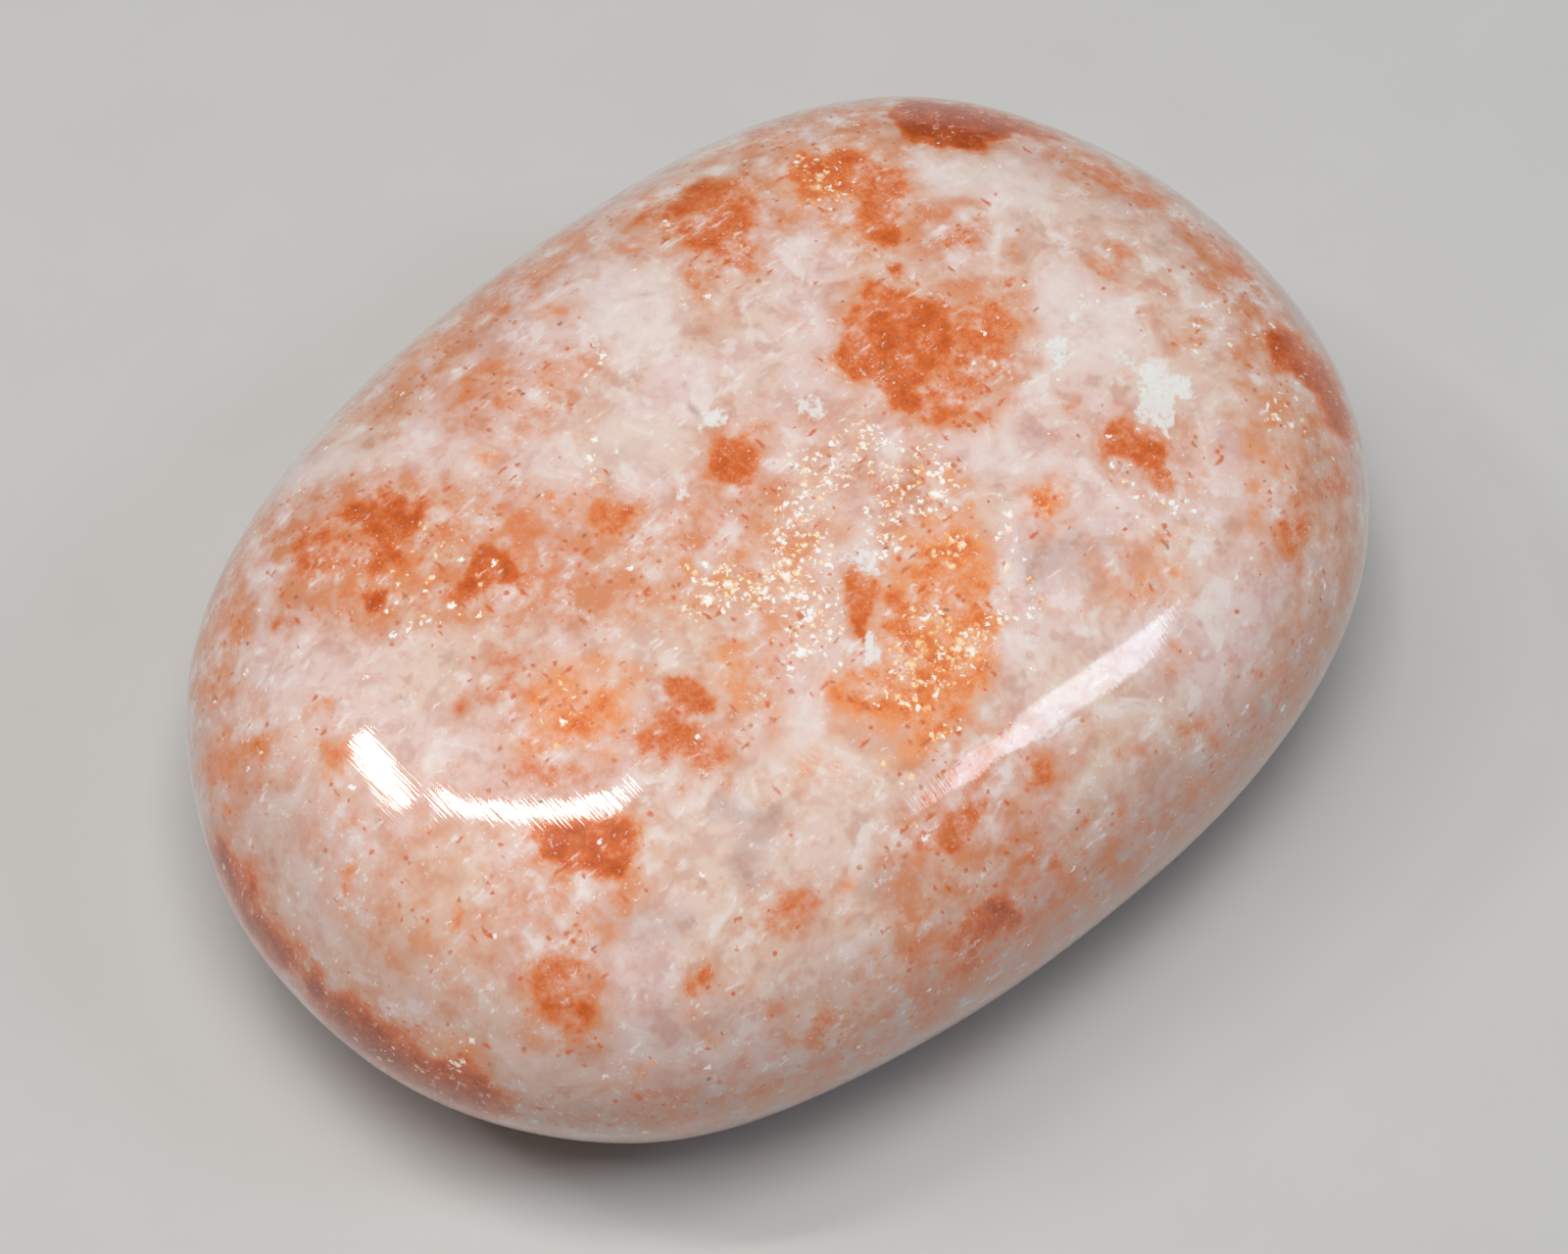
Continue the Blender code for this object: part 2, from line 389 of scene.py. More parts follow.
    (0.95, 0.4, 0, 0.6, [(23.4, 15), (24.4, 15), (25.6, 14.2), (26.6, 13.4), (27.4, 12), (28, 10.6),
        (28.2, 9), (27.6, 8.6), (27.2, 9.4), (26.6, 10), (26.2, 11), (25.6, 12), (24.6, 12.6), (23.8, 13.2)]),
    (0.9, 0.3, 0.4, 0.4, [(25, 13), (26.5, 11), (27.4, 9.8)]),
    (0.6, 0.1, 0, 0.4, [(26.9, 8), (27.6, 7.9), (27.9, 6.6), (27.4, 5.8), (26.8, 6.2), (26.6, 7)]),
    (0.5, 0.3, 0, 0.4, [(24.2, 4.6), (24.6, 5.4), (25.4, 6), (25.9, 5.2), (25.8, 4.2), (25.2, 3.5),
        (24.6, 3.8)]),
    (0.3, 0.9, 0, 0.6, [(22.2, 5), (22.8, 6.6), (23.2, 8.2), (24, 6.6), (23.6, 5), (23, 3.2), (22.2, 3.4)]),
    (0.75, 0.3, 0, 0.5, [(15.2, 9.2), (15.7, 10.2), (16.6, 10.4), (17.7, 10.1), (18.9, 9.3), (19.2, 8.2),
        (19.4, 7.2), (18.8, 6.3), (18.2, 6.7), (17.8, 7.6), (17, 8), (15.8, 8.3)]),
    (0.9, 0.2, 0.3, 0.4, [(17.4, 9.3), (18.6, 8.6), (18.7, 7.6)]),
    (0.45, 0.3, 0.35, 0.4, [(14.3, 9.5), (14.7, 9.5)]),
    (0.4, 0.3, 0.15, 0.2, [(13.9, 10.7), (14.6, 10.8)]),
    (0.65, 1, 0, 0.3, [(12, 5.8), (12.2, 6.6), (12.8, 7), (13.4, 7.2), (13.6, 6.4), (13.5, 5.6), (13.2, 5),
        (12.6, 5.3)]),
    (0.35, 0.6, 0, 0.4, [(19.8, 7.6), (21.2, 7.8), (21.6, 7), (20.6, 6.6), (19.9, 6.9)]),
    (0.35, 0.6, 1, 0.6, [(24.4, 10.6)]),
    (0.45, 0.9, 0, 0.5, [(17.2, 2), (17.8, 2.8), (19.2, 3.6), (19.6, 2.6), (18.8, 2), (17.8, 1.6)]),
    (0.5, 0.6, 0.15, 0.2, [(18.5, 4)]),
    (0.5, 0.4, 0.15, 0.2, [(17.2, 3.4)]),
    (0.5, 0.4, 0.2, 0.2, [(15.2, 3)]),
    (0.5, 0.1, 0.3, 0.3, [(11.2, 13.2)]),
    # the middle
    (0.5, 0.4, 0, 0.4, [(-10.6, 13.6), (-9.4, 13.4), (-9.3, 12.6), (-9.8, 12), (-10.8, 12.2)]),
    (0.75, 0.4, 0, 0.5, [(-3.8, 7.6), (-3.6, 9.1), (-2.8, 9.7), (-1.6, 9.6), (-1.2, 8.7), (-1, 7.8),
        (-1.4, 7), (-1.9, 6.4), (-2.6, 6.9), (-3.4, 7.2)]),
    (0.85, 0.4, 0.7, 0.4, [(-2.3, 7.6), (-1.9, 7.6)]),
    (0.25, 0.4, 0, 0.7, [(-2.5, 10.4), (0.2, 10.8), (2, 9.6), (2.2, 8.6), (0.4, 8.4), (-0.8, 8.6)]),
    (0.6, 0.5, 0, 0.3, [(-9.9, 6.2), (-8.6, 6.3), (-7.2, 5.9), (-7, 5.6), (-7.6, 5), (-8.4, 4.6), (-9.2, 4.7),
        (-9.6, 5.4)]),
    (0.5, 0.4, 0.25, 0.3, [(-5.7, 4.9), (-5.3, 4.9)]),
    (0.5, 0.1, 0, 0.4, [(4.2, 7.6), (5.2, 7.4), (5.9, 6.6), (5.4, 5.9), (4.4, 5.8), (4.1, 6.6)]),
    (0.74, 0.4, 0, 0.15, [(2.7, 2.9), (3.4, 2.9), (4, 2.4), (4.4, 2.4), (4.6, 1.4), (4.1, 0.5), (4.2, -0.4),
        (3.9, -1.4), (3.4, -0.6), (3.1, 0.2), (2.8, 1.2)]),
    (0.56, 1, 0, 0.5, [(4.6, 2), (6.2, 2.2), (6.4, 4.2), (7, 4.6), (8.2, 5.1), (9.4, 4.6), (9.6, 3),
        (10.4, 2.2), (10.8, 0.4), (10.4, -1.2), (10.2, -2.6), (9.4, -3.8), (8.4, -4.6), (8, -5.8),
        (6.6, -5.6), (5.4, -4.6), (4.2, -4.2), (3.2, -4.2), (2.3, -3.6), (2.1, -2.6), (3.2, -2), (4.2, -2.2),
        (4.8, -1.2), (4.8, 0)]),
    (0.8, 0.6, 0.6, 0.6, [(5.8, 0.6), (6.2, -1.2)]),
    (0.72, 0.2, 0, 0.15, [(-5.8, -2.4), (-5, -2.6), (-4.3, -2.8), (-3.7, -3.4), (-3.2, -3.95), (-3.8, -4.4),
        (-4.4, -4.5), (-5.2, -4.5), (-6.1, -3.6)]),
    (0.72, 0.3, 0, 0.4, [(-6.2, -4), (-4.4, -4.6), (-3.4, -5.2), (-2.6, -5.6), (-2, -6.2), (-2.6, -6.6),
        (-4.2, -6.9), (-5.8, -6.8), (-7, -6.2), (-7.6, -5.6), (-6.8, -4.8)]),
    (0.45, 1, 0.35, 0.3, [(-2.8, -2.8)]),
    (0.4, 0.6, 0.12, 0.2, [(-1.5, -2.8), (-0.9, -2.8)]),
    (0.35, 1, 0, 0.4, [(1.2, -6), (2, -5.9), (2.8, -6.6), (2.2, -7.4), (1, -7.6), (0.4, -6.8)]),
    # the lower left
    (0.4, 0.3, 0.4, 0.4, [(-28.4, -2.9), (-28.4, -3.9)]),
    (0.35, 0.4, 0.2, 0.3, [(-27.6, -2.4), (-26.8, -2.4)]),
    (0.45, 0.4, 0, 0.5, [(-29.2, -5.2), (-28.2, -5), (-26.4, -5), (-25.2, -5.4), (-24.8, -6.2), (-25.4, -6.8),
        (-26.6, -7), (-27.4, -8.2), (-28.4, -8.2), (-29, -7.2)]),
    (0.3, 0.4, 0.5, 0.5, [(-27.8, -8.4), (-27.5, -10)]),
    (0.5, 0.6, 0, 0.3, [(-23.2, -3.8), (-22.8, -3.4), (-22.2, -3.7), (-21.9, -4.2), (-22.6, -4.3),
        (-23.3, -4.2)]),
    (0.45, 0.6, 0, 0.4, [(-23.6, -5.4), (-22.2, -5.4), (-21.2, -5.6), (-21, -6.6), (-21.4, -7.6),
        (-22.4, -7.8), (-22.9, -7.2), (-22.8, -6.6), (-23.4, -6)]),
    (0.5, 0.4, 0, 0.3, [(-20.4, -8), (-19.6, -7.8), (-19.2, -8.4), (-19.4, -9), (-20, -8.8)]),
    (0.4, 0.1, 0, 0.5, [(-16.2, -3.4), (-15.4, -2), (-14.2, -0.6), (-13, -0.2), (-12.6, -1.2), (-12.8, -2.4),
        (-13.1, -3.4), (-13.4, -4.4), (-14.2, -4), (-15, -3.6), (-15.8, -4.4)]),
    (0.6, 0.2, 0.15, 0.2, [(-15.7, -4)]),
    (0.6, 0.2, 0.15, 0.2, [(-13.5, -4)]),
    (0.55, 1, 0, 0.7, [(-12.4, -2.8), (-11, -2.6), (-9.6, -2.6), (-8, -3.4), (-7.8, -4.2), (-8.6, -5.4),
        (-9.8, -6.2), (-11.6, -6.2), (-13.2, -6), (-13.2, -5.4), (-12, -4.6), (-13, -3.6)]),
    (0.6, 0.1, 0, 0.4, [(-13.4, -6.6), (-12, -6.4), (-10.4, -6.6), (-9.6, -7.2), (-9.6, -7.9), (-11, -8),
        (-12.6, -8), (-13.6, -7.6)]),
    (0.85, 0.2, 0.4, 0.3, [(-11.1, -7)]),
    (0.92, 0.5, 0, 0.5, [(-12.6, -9.6), (-11, -9.5), (-9.4, -9.3), (-7.6, -9.3), (-6.8, -9.8), (-6.7, -10.8),
        (-7.2, -11.8), (-8, -12.4), (-9.6, -12.2), (-11, -11.8), (-12, -11.4), (-12.6, -10.6), (-13, -10)]),
    (0.95, 0.4, 0.5, 0.5, [(-11, -11), (-10.2, -11)]),
    (0.9, 0.4, 0.5, 0.5, [(-8.6, -10.4)]),
    (0.3, 0.5, 0, 0.8, [(-13, -11.8), (-10, -12), (-9, -14.5), (-10.4, -15.8), (-12, -14)]),
    (0.45, 0.6, 0.3, 0.3, [(-13.4, -11.8)]),
    (0.45, 0.5, 0.25, 0.3, [(-16.3, -10.8)]),
    (0.45, 0.6, 0.25, 0.3, [(-21.3, -10.1)]),
    (0.5, 0.5, 0.35, 0.3, [(-21.3, -11.6), (-21.4, -12.6), (-21.6, -13.8)]),
    (0.55, 0.6, 0.25, 0.3, [(-15.8, -14), (-16, -15)]),
    (0.5, 0.5, 0.2, 0.2, [(-14.7, -14.4)]),
    (0.5, 0.5, 0.25, 0.3, [(-17.4, -15.2)]),
    # the rust band along the lower left rim, made deeper than the rest: partly rust, partly painted shade
    # where the side turns down
    (1.1, 0.1, 0.8, 0.8, [(-27.8, -11.2), (-27, -12.6), (-26.4, -14), (-25.2, -15.6), (-24.6, -16.4)]),
    (1.05, 0.1, 0, 0.7, [(-23.9, -16.8), (-23.2, -16.5), (-22.2, -17.6), (-21, -18.4), (-19.6, -19.2),
        (-18.8, -20), (-17.6, -20.9), (-17, -21), (-16.4, -20.6), (-15.4, -20.9), (-15.2, -21.6),
        (-14.4, -22.2), (-13.9, -22.8), (-13.2, -23.4), (-13, -24.2), (-14.8, -24.4), (-16.8, -23.9),
        (-18.6, -23), (-20.2, -22.2), (-21.6, -21), (-22.8, -19.6), (-23.6, -18.4)]),
    (0.8, 1, 0.4, 0.4, [(-16.9, -21.2), (-16.1, -21.2)]),
    (1, 0.1, 0.3, 0.4, [(-20.2, -21), (-19.2, -21.8)]),
    (1, 0.1, 0.3, 0.4, [(-15.6, -23.2), (-14.4, -23.7)]),
    (0.9, 0.1, 0.15, 0.15, [(-18.35, -19.75), (-18.15, -19.75)]),
    (0.6, 0.3, 0, 0.6, [(-12.2, -15.6), (-11, -15.4), (-10, -16.2), (-9.2, -17.8), (-9.2, -19.4),
        (-9.8, -20.6), (-11.2, -20.2), (-12, -19.4), (-12.8, -18.2), (-12.6, -16.8)]),
    (0.9, 0.3, 0.5, 0.4, [(-9.7, -19)]),
    (0.6, 0.4, 0.25, 0.3, [(-12.9, -17.9)]),
    (0.6, 0.4, 0.25, 0.3, [(-11.8, -20.2)]),
    (0.55, 0.4, 0.2, 0.3, [(-13.7, -20.3)]),
    # the bottom
    (0.6, 0.4, 0, 0.3, [(-5, -18), (-4.6, -17.2), (-4.2, -17.1), (-3.6, -16.6), (-3.6, -17.4), (-3.9, -18.2),
        (-4, -18.7), (-4.6, -18.8)]),
    (0.7, 0.5, 0.12, 0.2, [(-3.2, -17.7), (-2, -17.7)]),
    (0.55, 0.3, 0, 0.3, [(-7.4, -21.8), (-6.6, -21.9), (-6.4, -22.4), (-6.8, -22.7), (-7.3, -22.4)]),
    (0.85, 0.2, 0.3, 0.2, [(-7.1, -23.2)]),
    (0.45, 0.4, 0.25, 0.3, [(-8.4, -22.2), (-9, -22)]),
    (0.5, 0.4, 0.2, 0.2, [(-3.6, -20.4)]),
    (0.4, 0.3, 0.25, 0.4, [(-3.6, -22.2), (-1.6, -22.6)]),
    (0.65, 0.1, 0, 0.35, [(0.6, -20.4), (1, -19.6), (1.6, -19), (2, -19), (2.5, -19.4), (2.2, -19.9),
        (1.9, -20.8), (1.2, -21), (0.6, -20.8)]),
    (0.4, 0.2, 0.4, 0.4, [(2.8, -20.6)]),
    (0.45, 0.3, 0.15, 0.2, [(0.6, -18.4), (-0.2, -18.8), (-0.9, -19.6)]),
    (0.7, 0, 0.2, 0.2, [(6.4, -16.6)]),
    (0.5, 0.4, 0.15, 0.2, [(4.1, -17), (4.7, -17)]),
    (0.4, 0.1, 0.5, 0.5, [(0.2, -23), (1.6, -22.7), (3, -22)]),
    (0.4, 0.2, 0.3, 0.4, [(-5, -24.2)]),
    (0.5, 0.2, 0, 0.5, [(-1.6, -15.2), (-1.8, -14.4), (-1, -13.6), (0, -13), (1.2, -12.8), (1.9, -13),
        (1.8, -14), (1, -14.8), (0.2, -15.4), (-0.6, -15.6)]),
    (0.65, 0.3, 0.3, 0.4, [(-1.1, -14.4), (0.2, -13.8)]),
    (0.6, 0.2, 0.15, 0.2, [(-2.9, -7.9)]),
    (0.6, 0.3, 0.15, 0.2, [(-5.1, -8)]),
    (0.5, 0.2, 0.2, 0.2, [(0.4, -10.25)]),
    (0.5, 0.2, 0.2, 0.2, [(1.4, -12.7)]),
    (0.6, 0.9, 0.2, 0.2, [(3.2, -12.7)]),
    # the lower right
    # a wide brown band along the lower rim: partly its brown clouds, partly painted shade
    (0.42, 0.1, 0, 1.8, [(1, -19.5), (4, -17), (8, -13.4), (13, -10.4), (17, -8), (19, -10), (15, -14),
        (9, -18.6), (3, -22.4), (-3, -24.4), (-9, -25), (-9, -23), (-3, -22)]),
    (0.34, 0.2, 0, 1.2, [(6, -12), (7, -8.6), (9.6, -6), (11.4, -6.4), (11, -9), (9, -12)]),
    (0.6, 0.1, 0, 0.6, [(11.5, -10.8), (12.4, -10), (13.6, -11), (14.6, -12.2), (13.4, -12.8), (12, -12)]),
    (0.55, 0.1, 0, 0.7, [(5, -18.4), (6.4, -17.4), (8.2, -18), (7.8, -19.6), (6, -20)]),
    (0.45, 0.1, 0, 0.7, [(15.6, -11), (17.4, -10), (18.6, -10.6), (17, -12.4), (15.4, -12.6)]),
    (0.5, 0.2, 0, 0.5, [(19.4, -4.8), (20.6, -4.2), (21.6, -5), (21, -6.2), (19.8, -6)]),
    (0.4, 0.3, 0, 0.6, [(15.8, -5.4), (17.6, -5), (18.4, -6.2), (17, -7), (15.8, -6.6)]),
    (0.45, 0.3, 0, 0.5, [(-0.6, -21.4), (1, -21), (2.2, -21.8), (0.8, -22.6), (-0.6, -22.4)]),
    (0.4, 0.2, 0, 0.5, [(3.4, -16.8), (4.6, -16), (5.2, -17.2), (4.2, -18)]),
    (0.75, 0.4, 0, 0.2, [(6.4, -10.2), (7.2, -9.6), (8.2, -9), (9.4, -8.4), (10.2, -8.3), (10.4, -8.8),
        (9.6, -9.8), (8.8, -10.6), (8.4, -11.2), (7.4, -11.2), (6.6, -10.9)]),
    (0.4, 0.4, 0, 0.5, [(6, -9.6), (6.4, -8.2), (7.8, -6.4), (8.4, -5.2), (9.8, -4.6), (10.4, -5.2),
        (9.6, -6.6), (8, -8.2)]),
    (0.5, 0.3, 0, 0.4, [(5.6, -14.6), (6.4, -14.2), (7.4, -13.9), (7.8, -14.4), (6.8, -15), (6, -15.4)]),
    (0.8, 0.3, 0, 0.5, [(8.2, -15.4), (8.6, -14.2), (9.4, -13.4), (10.6, -13.2), (11.6, -13), (11.5, -13.6),
        (11, -14), (12.4, -14.2), (13.3, -14.3), (12.9, -14.7), (11.8, -15), (10.8, -15.5), (10.2, -16),
        (9.2, -17), (8.6, -17.6), (8.4, -16.4), (8, -15.8)]),
    (1.1, 0.1, 0.3, 0.4, [(9.2, -15.4)]),
    (1.15, 0, 0.3, 0.4, [(10.4, -13.7), (11.4, -14.4)]),
    (0.6, 0.5, 0, 0.3, [(11.8, -6.6), (12.4, -6.3), (13, -6.9), (13.3, -7.7), (13.1, -8.1), (12.2, -8),
        (11.9, -8.2), (12.2, -7.4)]),
    (0.95, 0.1, 0.12, 0.2, [(12.3, -7.3), (12.8, -7.9)]),
    (0.4, 0.4, 0, 0.4, [(14.2, -9.6), (14.8, -9.2), (15.6, -9.3), (15.4, -10), (14.8, -10.3), (14.2, -10.4)]),
    (0.5, 0.3, 0.3, 0.3, [(11.6, -11.3)]),
    (0.35, 0.4, 0.3, 0.4, [(12.9, -10.7), (13.6, -11.6)]),
    (0.4, 0.3, 0, 0.3, [(20.2, -6.2), (20.8, -6.8), (20.6, -7.6), (20.2, -8), (19.8, -7.4)]),
    (0.4, 0.3, 0.2, 0.3, [(17.2, -7.2)]),
    (0.45, 0.3, 0, 0.3, [(23, -1.8), (23.8, -1.6), (24.2, -2.2), (23.6, -2.8), (23.2, -2.7)]),
    (0.5, 0.3, 0.2, 0.2, [(22, -2.3)]),
    (0.6, 0.4, 0.1, 0.15, [(14.5, -4.8), (14.9, -5)]),
    (0.6, 0.4, 0.1, 0.15, [(14.2, -6.3), (14.5, -6.7)]),
    (0.6, 0.4, 0.1, 0.15, [(19.1, -1.6), (19.3, -2)]),
    (0.6, 0.4, 0.1, 0.15, [(19.4, -1), (19.6, -1.3)]),
    (0.6, 0.9, 0.25, 0.2, [(15, -13.2)]),
]

# white clouds of milky feldspar
milkMarks = [
    (0.4, 0, 0, 1, [(-9, 10.6), (-5, 10), (-5, 8.4), (-8, 8), (-10, 8.8)]),
    (0.35, 0.5, 0, 1, [(0.5, 9), (4, 9.6), (5.4, 8), (4.4, 6), (3.6, 4), (4, 2), (2.4, -2), (0.4, -2),
        (0.2, 2), (-0.4, 6)]),
    (0.9, 0, 0, 0.6, [(-25.5, 6), (-23.5, 8.2), (-21, 8.8), (-19.2, 8), (-20.5, 7), (-22.5, 6.2),
        (-24, 5.6)]),
    (0.8, 0, 0, 0.9, [(-9, 18), (-6, 17.5), (-5, 16), (-5.2, 14), (-8.5, 13.5), (-10, 15)]),
    (0.7, 0, 0, 0.7, [(6.5, 22), (6, 23.5), (9, 22.9), (12, 23.8), (13.5, 23), (13, 21), (10, 20.4), (8, 21),
        (7, 20.6)]),
    (0.8, 0, 0, 0.8, [(11, 16.5), (13.5, 17.5), (16, 16.8), (17.5, 15.5), (18, 14), (16, 12.8), (13, 12.5),
        (12.3, 14), (12.2, 15.5)]),
    (0.7, 0, 0, 0.6, [(19.8, 18.8), (21.4, 18.2), (21.8, 16.8), (23.4, 16.4), (23.8, 15), (22.4, 14.6),
        (20.6, 16.2)]),
    (0.7, 0, 0, 0.6, [(8, 9.8), (10, 11.2), (11.4, 11), (11.6, 9), (10.8, 7.6), (9.6, 7.8), (8.4, 8.8)]),
    (0.55, 1, 0, 0.7, [(-20.8, -12), (-19.8, -11), (-17, -10.6), (-15, -11), (-14.2, -13), (-16, -14),
        (-18, -14.2), (-20.2, -14)]),
    (0.6, 0, 0, 0.4, [(-14.8, -20), (-13.4, -20.4), (-12, -21), (-10.4, -20.8), (-10.4, -21.6),
        (-12.4, -21.8), (-14.2, -21.4)]),
    (0.45, 0, 0, 0.3, [(2.2, 4.2), (3, 5.6), (4.4, 5.6), (4.6, 4.8), (4.2, 4.2), (4, 2.6), (3.2, 3.1),
        (2.6, 3.2)]),
    (0.55, 0, 0, 0.3, [(-3.2, -4), (-1, -3.5), (2, -3.6), (2.8, -4.4), (1.4, -6), (0.6, -6.4), (-0.4, -6.9),
        (-1.8, -6.4), (-2.4, -5.4)]),
    (0.7, 0, 0.6, 0.5, [(-7.2, -20.4), (-6.4, -21.2)]),
    (0.6, 0, 0.4, 0.4, [(-23.4, -12), (-22, -15.5)]),
    (0.5, 0, 0.6, 0.5, [(22.8, -3.2), (21.4, -8.6)]),
    (0.45, 0, 0.6, 0.6, [(21.4, -8.6), (17, -10.6)]),
]

# wide warm tints, where platelets lie deep in the stone; the brown bands along the lower rim are partly
# painted shade
tintAndShadeMarks = [
    (0.95, 0.4, 0, 0.8, [(-2, 25), (2, 26), (5, 25.6), (4.6, 23.8), (1, 24), (-2, 23)]),
    (0.7, 0.8, 0, 1.4, [(-4, 9), (-0.6, 10), (0.6, 4), (1, -1), (-0.4, -6), (-3, -5.6), (-4, 0), (-6.4, 4)]),
    (0.6, 0.9, 0, 1, [(-5, 3), (-3, 4.6), (0, 4), (2, 3), (2.4, 0.4), (0.6, -1.4), (-2, 0), (-5, 0.6)]),
    (0.95, 0.2, 0, 1, [(-29, 7), (-26.5, 5), (-26, 0), (-27, -4), (-30, -4)]),
    (0.95, 0.3, 0, 0.8, [(18.5, 21), (21.5, 19.5), (24.5, 16.5), (23, 14.5), (21, 16), (19.5, 18.5)]),
    (0.78, 0.4, 0, 1.2, [(-27, 6), (-20, 8), (-14, 6.5), (-9, 7), (-4, 5), (0, 7), (2, 4), (-1, 0), (-8, 0),
        (-14, 0), (-20, -0.5), (-25, 1)]),
    (0.4, 0.6, 0, 1.2, [(-3, 10), (1, 11), (4, 10), (6, 9), (6, 6), (2, 3), (-1, 6), (-4, 7)]),
    (0.95, 1, 0, 1.2, [(5, 6), (6, 9), (9.5, 7), (10.5, 2), (10.5, -2), (9, -6), (6, -7), (3, -5), (1.5, -3),
        (4.4, -1), (4.6, 3)]),
    (0.65, 0.5, 0, 1, [(-9, 20), (-4, 23), (0, 24.5), (6, 24.5), (7, 20), (6, 17), (3, 18), (1, 20), (-1, 17),
        (-4, 16), (-6, 18)]),
    (0.9, 0.6, 0, 1.2, [(2, 13), (3, 17), (8, 17.5), (12, 17), (12.5, 13), (10, 9.5), (6, 9.5)]),
    (0.85, 0.5, 0, 0.8, [(5.5, 18), (6, 21), (10, 21), (10, 18)]),
    (0.7, 0.8, 0, 1.2, [(-14, -1), (-7, -1.5), (-7, -6), (-9, -8), (-14, -8), (-14.5, -5)]),
    (0.65, 0.4, 0, 1, [(-7, -2), (-3, -2), (-1, -6), (-4, -7.5), (-8, -6.5)]),
    (0.65, 0.5, 0, 1, [(-13.5, -9), (-6, -9), (-6, -13), (-8.5, -16), (-8.5, -21), (-13, -21), (-13.5, -15)]),
    (0.5, 0.5, 0, 1, [(-2.5, -15.5), (-2, -13), (2, -12), (3, -14), (0, -16)]),
    (0.68, 0.3, 0, 1.2, [(4, -12), (6, -8), (10, -4), (14, -6), (14, -9), (12, -12), (14, -14), (12, -17),
        (7, -19), (5, -16)]),
    (0.65, 0.4, 0, 1, [(22, 15), (24, 16), (28, 12), (28, 5), (25, 2), (23, 4), (22, 9)]),
    (0.5, 0.5, 0, 1, [(14, 10.5), (18, 11), (21.5, 9), (21.5, 6), (18, 5.5), (15, 7.5)]),
    (0.45, 0.7, 0, 1, [(15, 4.5), (20, 5), (20, 1), (15, 1)]),
    (0.4, 0.5, 0, 1, [(14, 19.5), (18, 19.5), (19, 16.5), (15, 16.5)]),
    (0.55, 0.4, 0, 1, [(-29, -3), (-24, -4.5), (-24, -7.5), (-28, -11)]),
    (0.65, 0.3, 0, 1, [(-28, -10), (-24, -15.5), (-13, -22.5), (-13, -25), (-20, -23), (-26, -17)]),
    (0.8, 0.2, 0, 1, [(-22, 10), (-16, 16.5), (-9, 20.5), (-9, 19), (-14, 14.5), (-19, 10)]),
    (0.65, 0.5, 0, 1.2, [(-17, 13.5), (-11, 13.5), (-9, 11), (-11, 9), (-17, 9.5)]),
    # brown bands along the lower rim: partly deep tint, partly painted shade where the rim turns away from
    # the light
    (0.75, 0.2, 0, 1.2, [(6, -18), (13, -12.5), (20, -7), (24.5, -1), (26.5, 4), (29, 5), (28.5, -4),
        (20, -14), (8, -22)]),
    (0.6, 0.2, 0, 1.2, [(-27, -10), (-22, -18), (-14, -23), (-5, -23), (4, -20), (13, -14.5), (21, -8.5),
        (26, -1), (28.5, 4), (28.5, -4), (20, -14), (8, -22), (-5, -26), (-18, -25), (-29, -14)]),
    (0.45, 0.3, 0, 1.2, [(-22, -6), (-16, -7), (-10, -8), (-11, -14), (-16, -20), (-21, -16), (-24, -10)]),
    (0.6, 0.4, 0, 1, [(-2, 25.5), (6, 26.5), (16, 23.5), (20, 20.5), (18, 20), (10, 23.5), (2, 24.5)]),
]

# grey and mauve veils, deep in the stone, and wide mauve bands along the lower rim that are partly painted
# shade
greyVeilAndShadeMarks = [
    # along the lower rim: partly mauve veils, partly painted shade where the rim turns away from the light
    (0.3, 0.9, 0, 1.6, [(-29, -5), (-24, -7), (-19, -14), (-12, -19), (-2, -18), (6, -15), (13, -10.5),
        (20, -5), (25, -1), (29, -3), (20, -14), (8, -23), (-4, -28), (-18, -26), (-28, -16)]),
    (0.3, 0.9, 0, 1.2, [(-13, -23), (-4, -21.5), (4, -18.5), (10, -14.5), (14, -15), (8, -21.5), (-4, -27),
        (-14, -27)]),
    (0.5, 1, 0, 1.6, [(2, -20.5), (9, -15), (16, -9.5), (22, -4), (26, 1), (30, 1), (24, -10), (14, -18),
        (5, -24), (-2, -26), (-12, -25.5), (-8, -22.5), (-2, -22)]),
    (0.6, 0, 0.5, 0.5, [(24.2, 17.4), (25.2, 15.8), (26.3, 14.4)]),
    (0.4, 0, 0.4, 0.5, [(25.8, 9.4), (26.4, 8)]),
    (0.6, 0, 0.35, 0.4, [(26.1, 3.4), (26.3, 2.4), (26.4, 0.8)]),
    (0.35, 1, 0.9, 0.8, [(12.5, 3), (15.5, 4)]),
    (0.6, 0, 0, 0.5, [(3.6, -12.4), (4.8, -11.8), (6.2, -11.8), (6.8, -12.6), (6.4, -13.6), (5, -13.8),
        (3.8, -13.4)]),
    (0.5, 0, 0, 0.3, [(-11, -23.4), (-10, -23), (-8.6, -23.2), (-8.4, -23.8), (-10, -24)]),
    (0.45, 1, 0.6, 0.7, [(-3.2, -9), (-0.5, -9.4), (-2.1, -11.4), (-1.6, -12.5)]),
    (0.3, 1, 0.9, 0.9, [(-5.5, -14.5), (-8.4, -14.6)]),
    (0.9, 0, 0.15, 0.15, [(-9.75, 11.75)]),
    (0.9, 1, 0.15, 0.15, [(-4.4, 10.85)]),
    (0.8, 0, 0.15, 0.15, [(18.55, 19), (18.85, 19)]),
    (0.6, 0, 0.2, 0.15, [(14.65, 2.4), (14.95, 2.4)]),
    (0.8, 0, 0.12, 0.15, [(14.5, 8.6)]),
    (0.8, 0, 0.12, 0.15, [(16.3, 5.1)]),
    (0.8, 1, 0.15, 0.15, [(11.1, -8.6)]),
    (0.8, 1, 0.15, 0.15, [(14.4, -10.7)]),
    (0.9, 0, 0.2, 0.2, [(-23, -11.6)]),
]

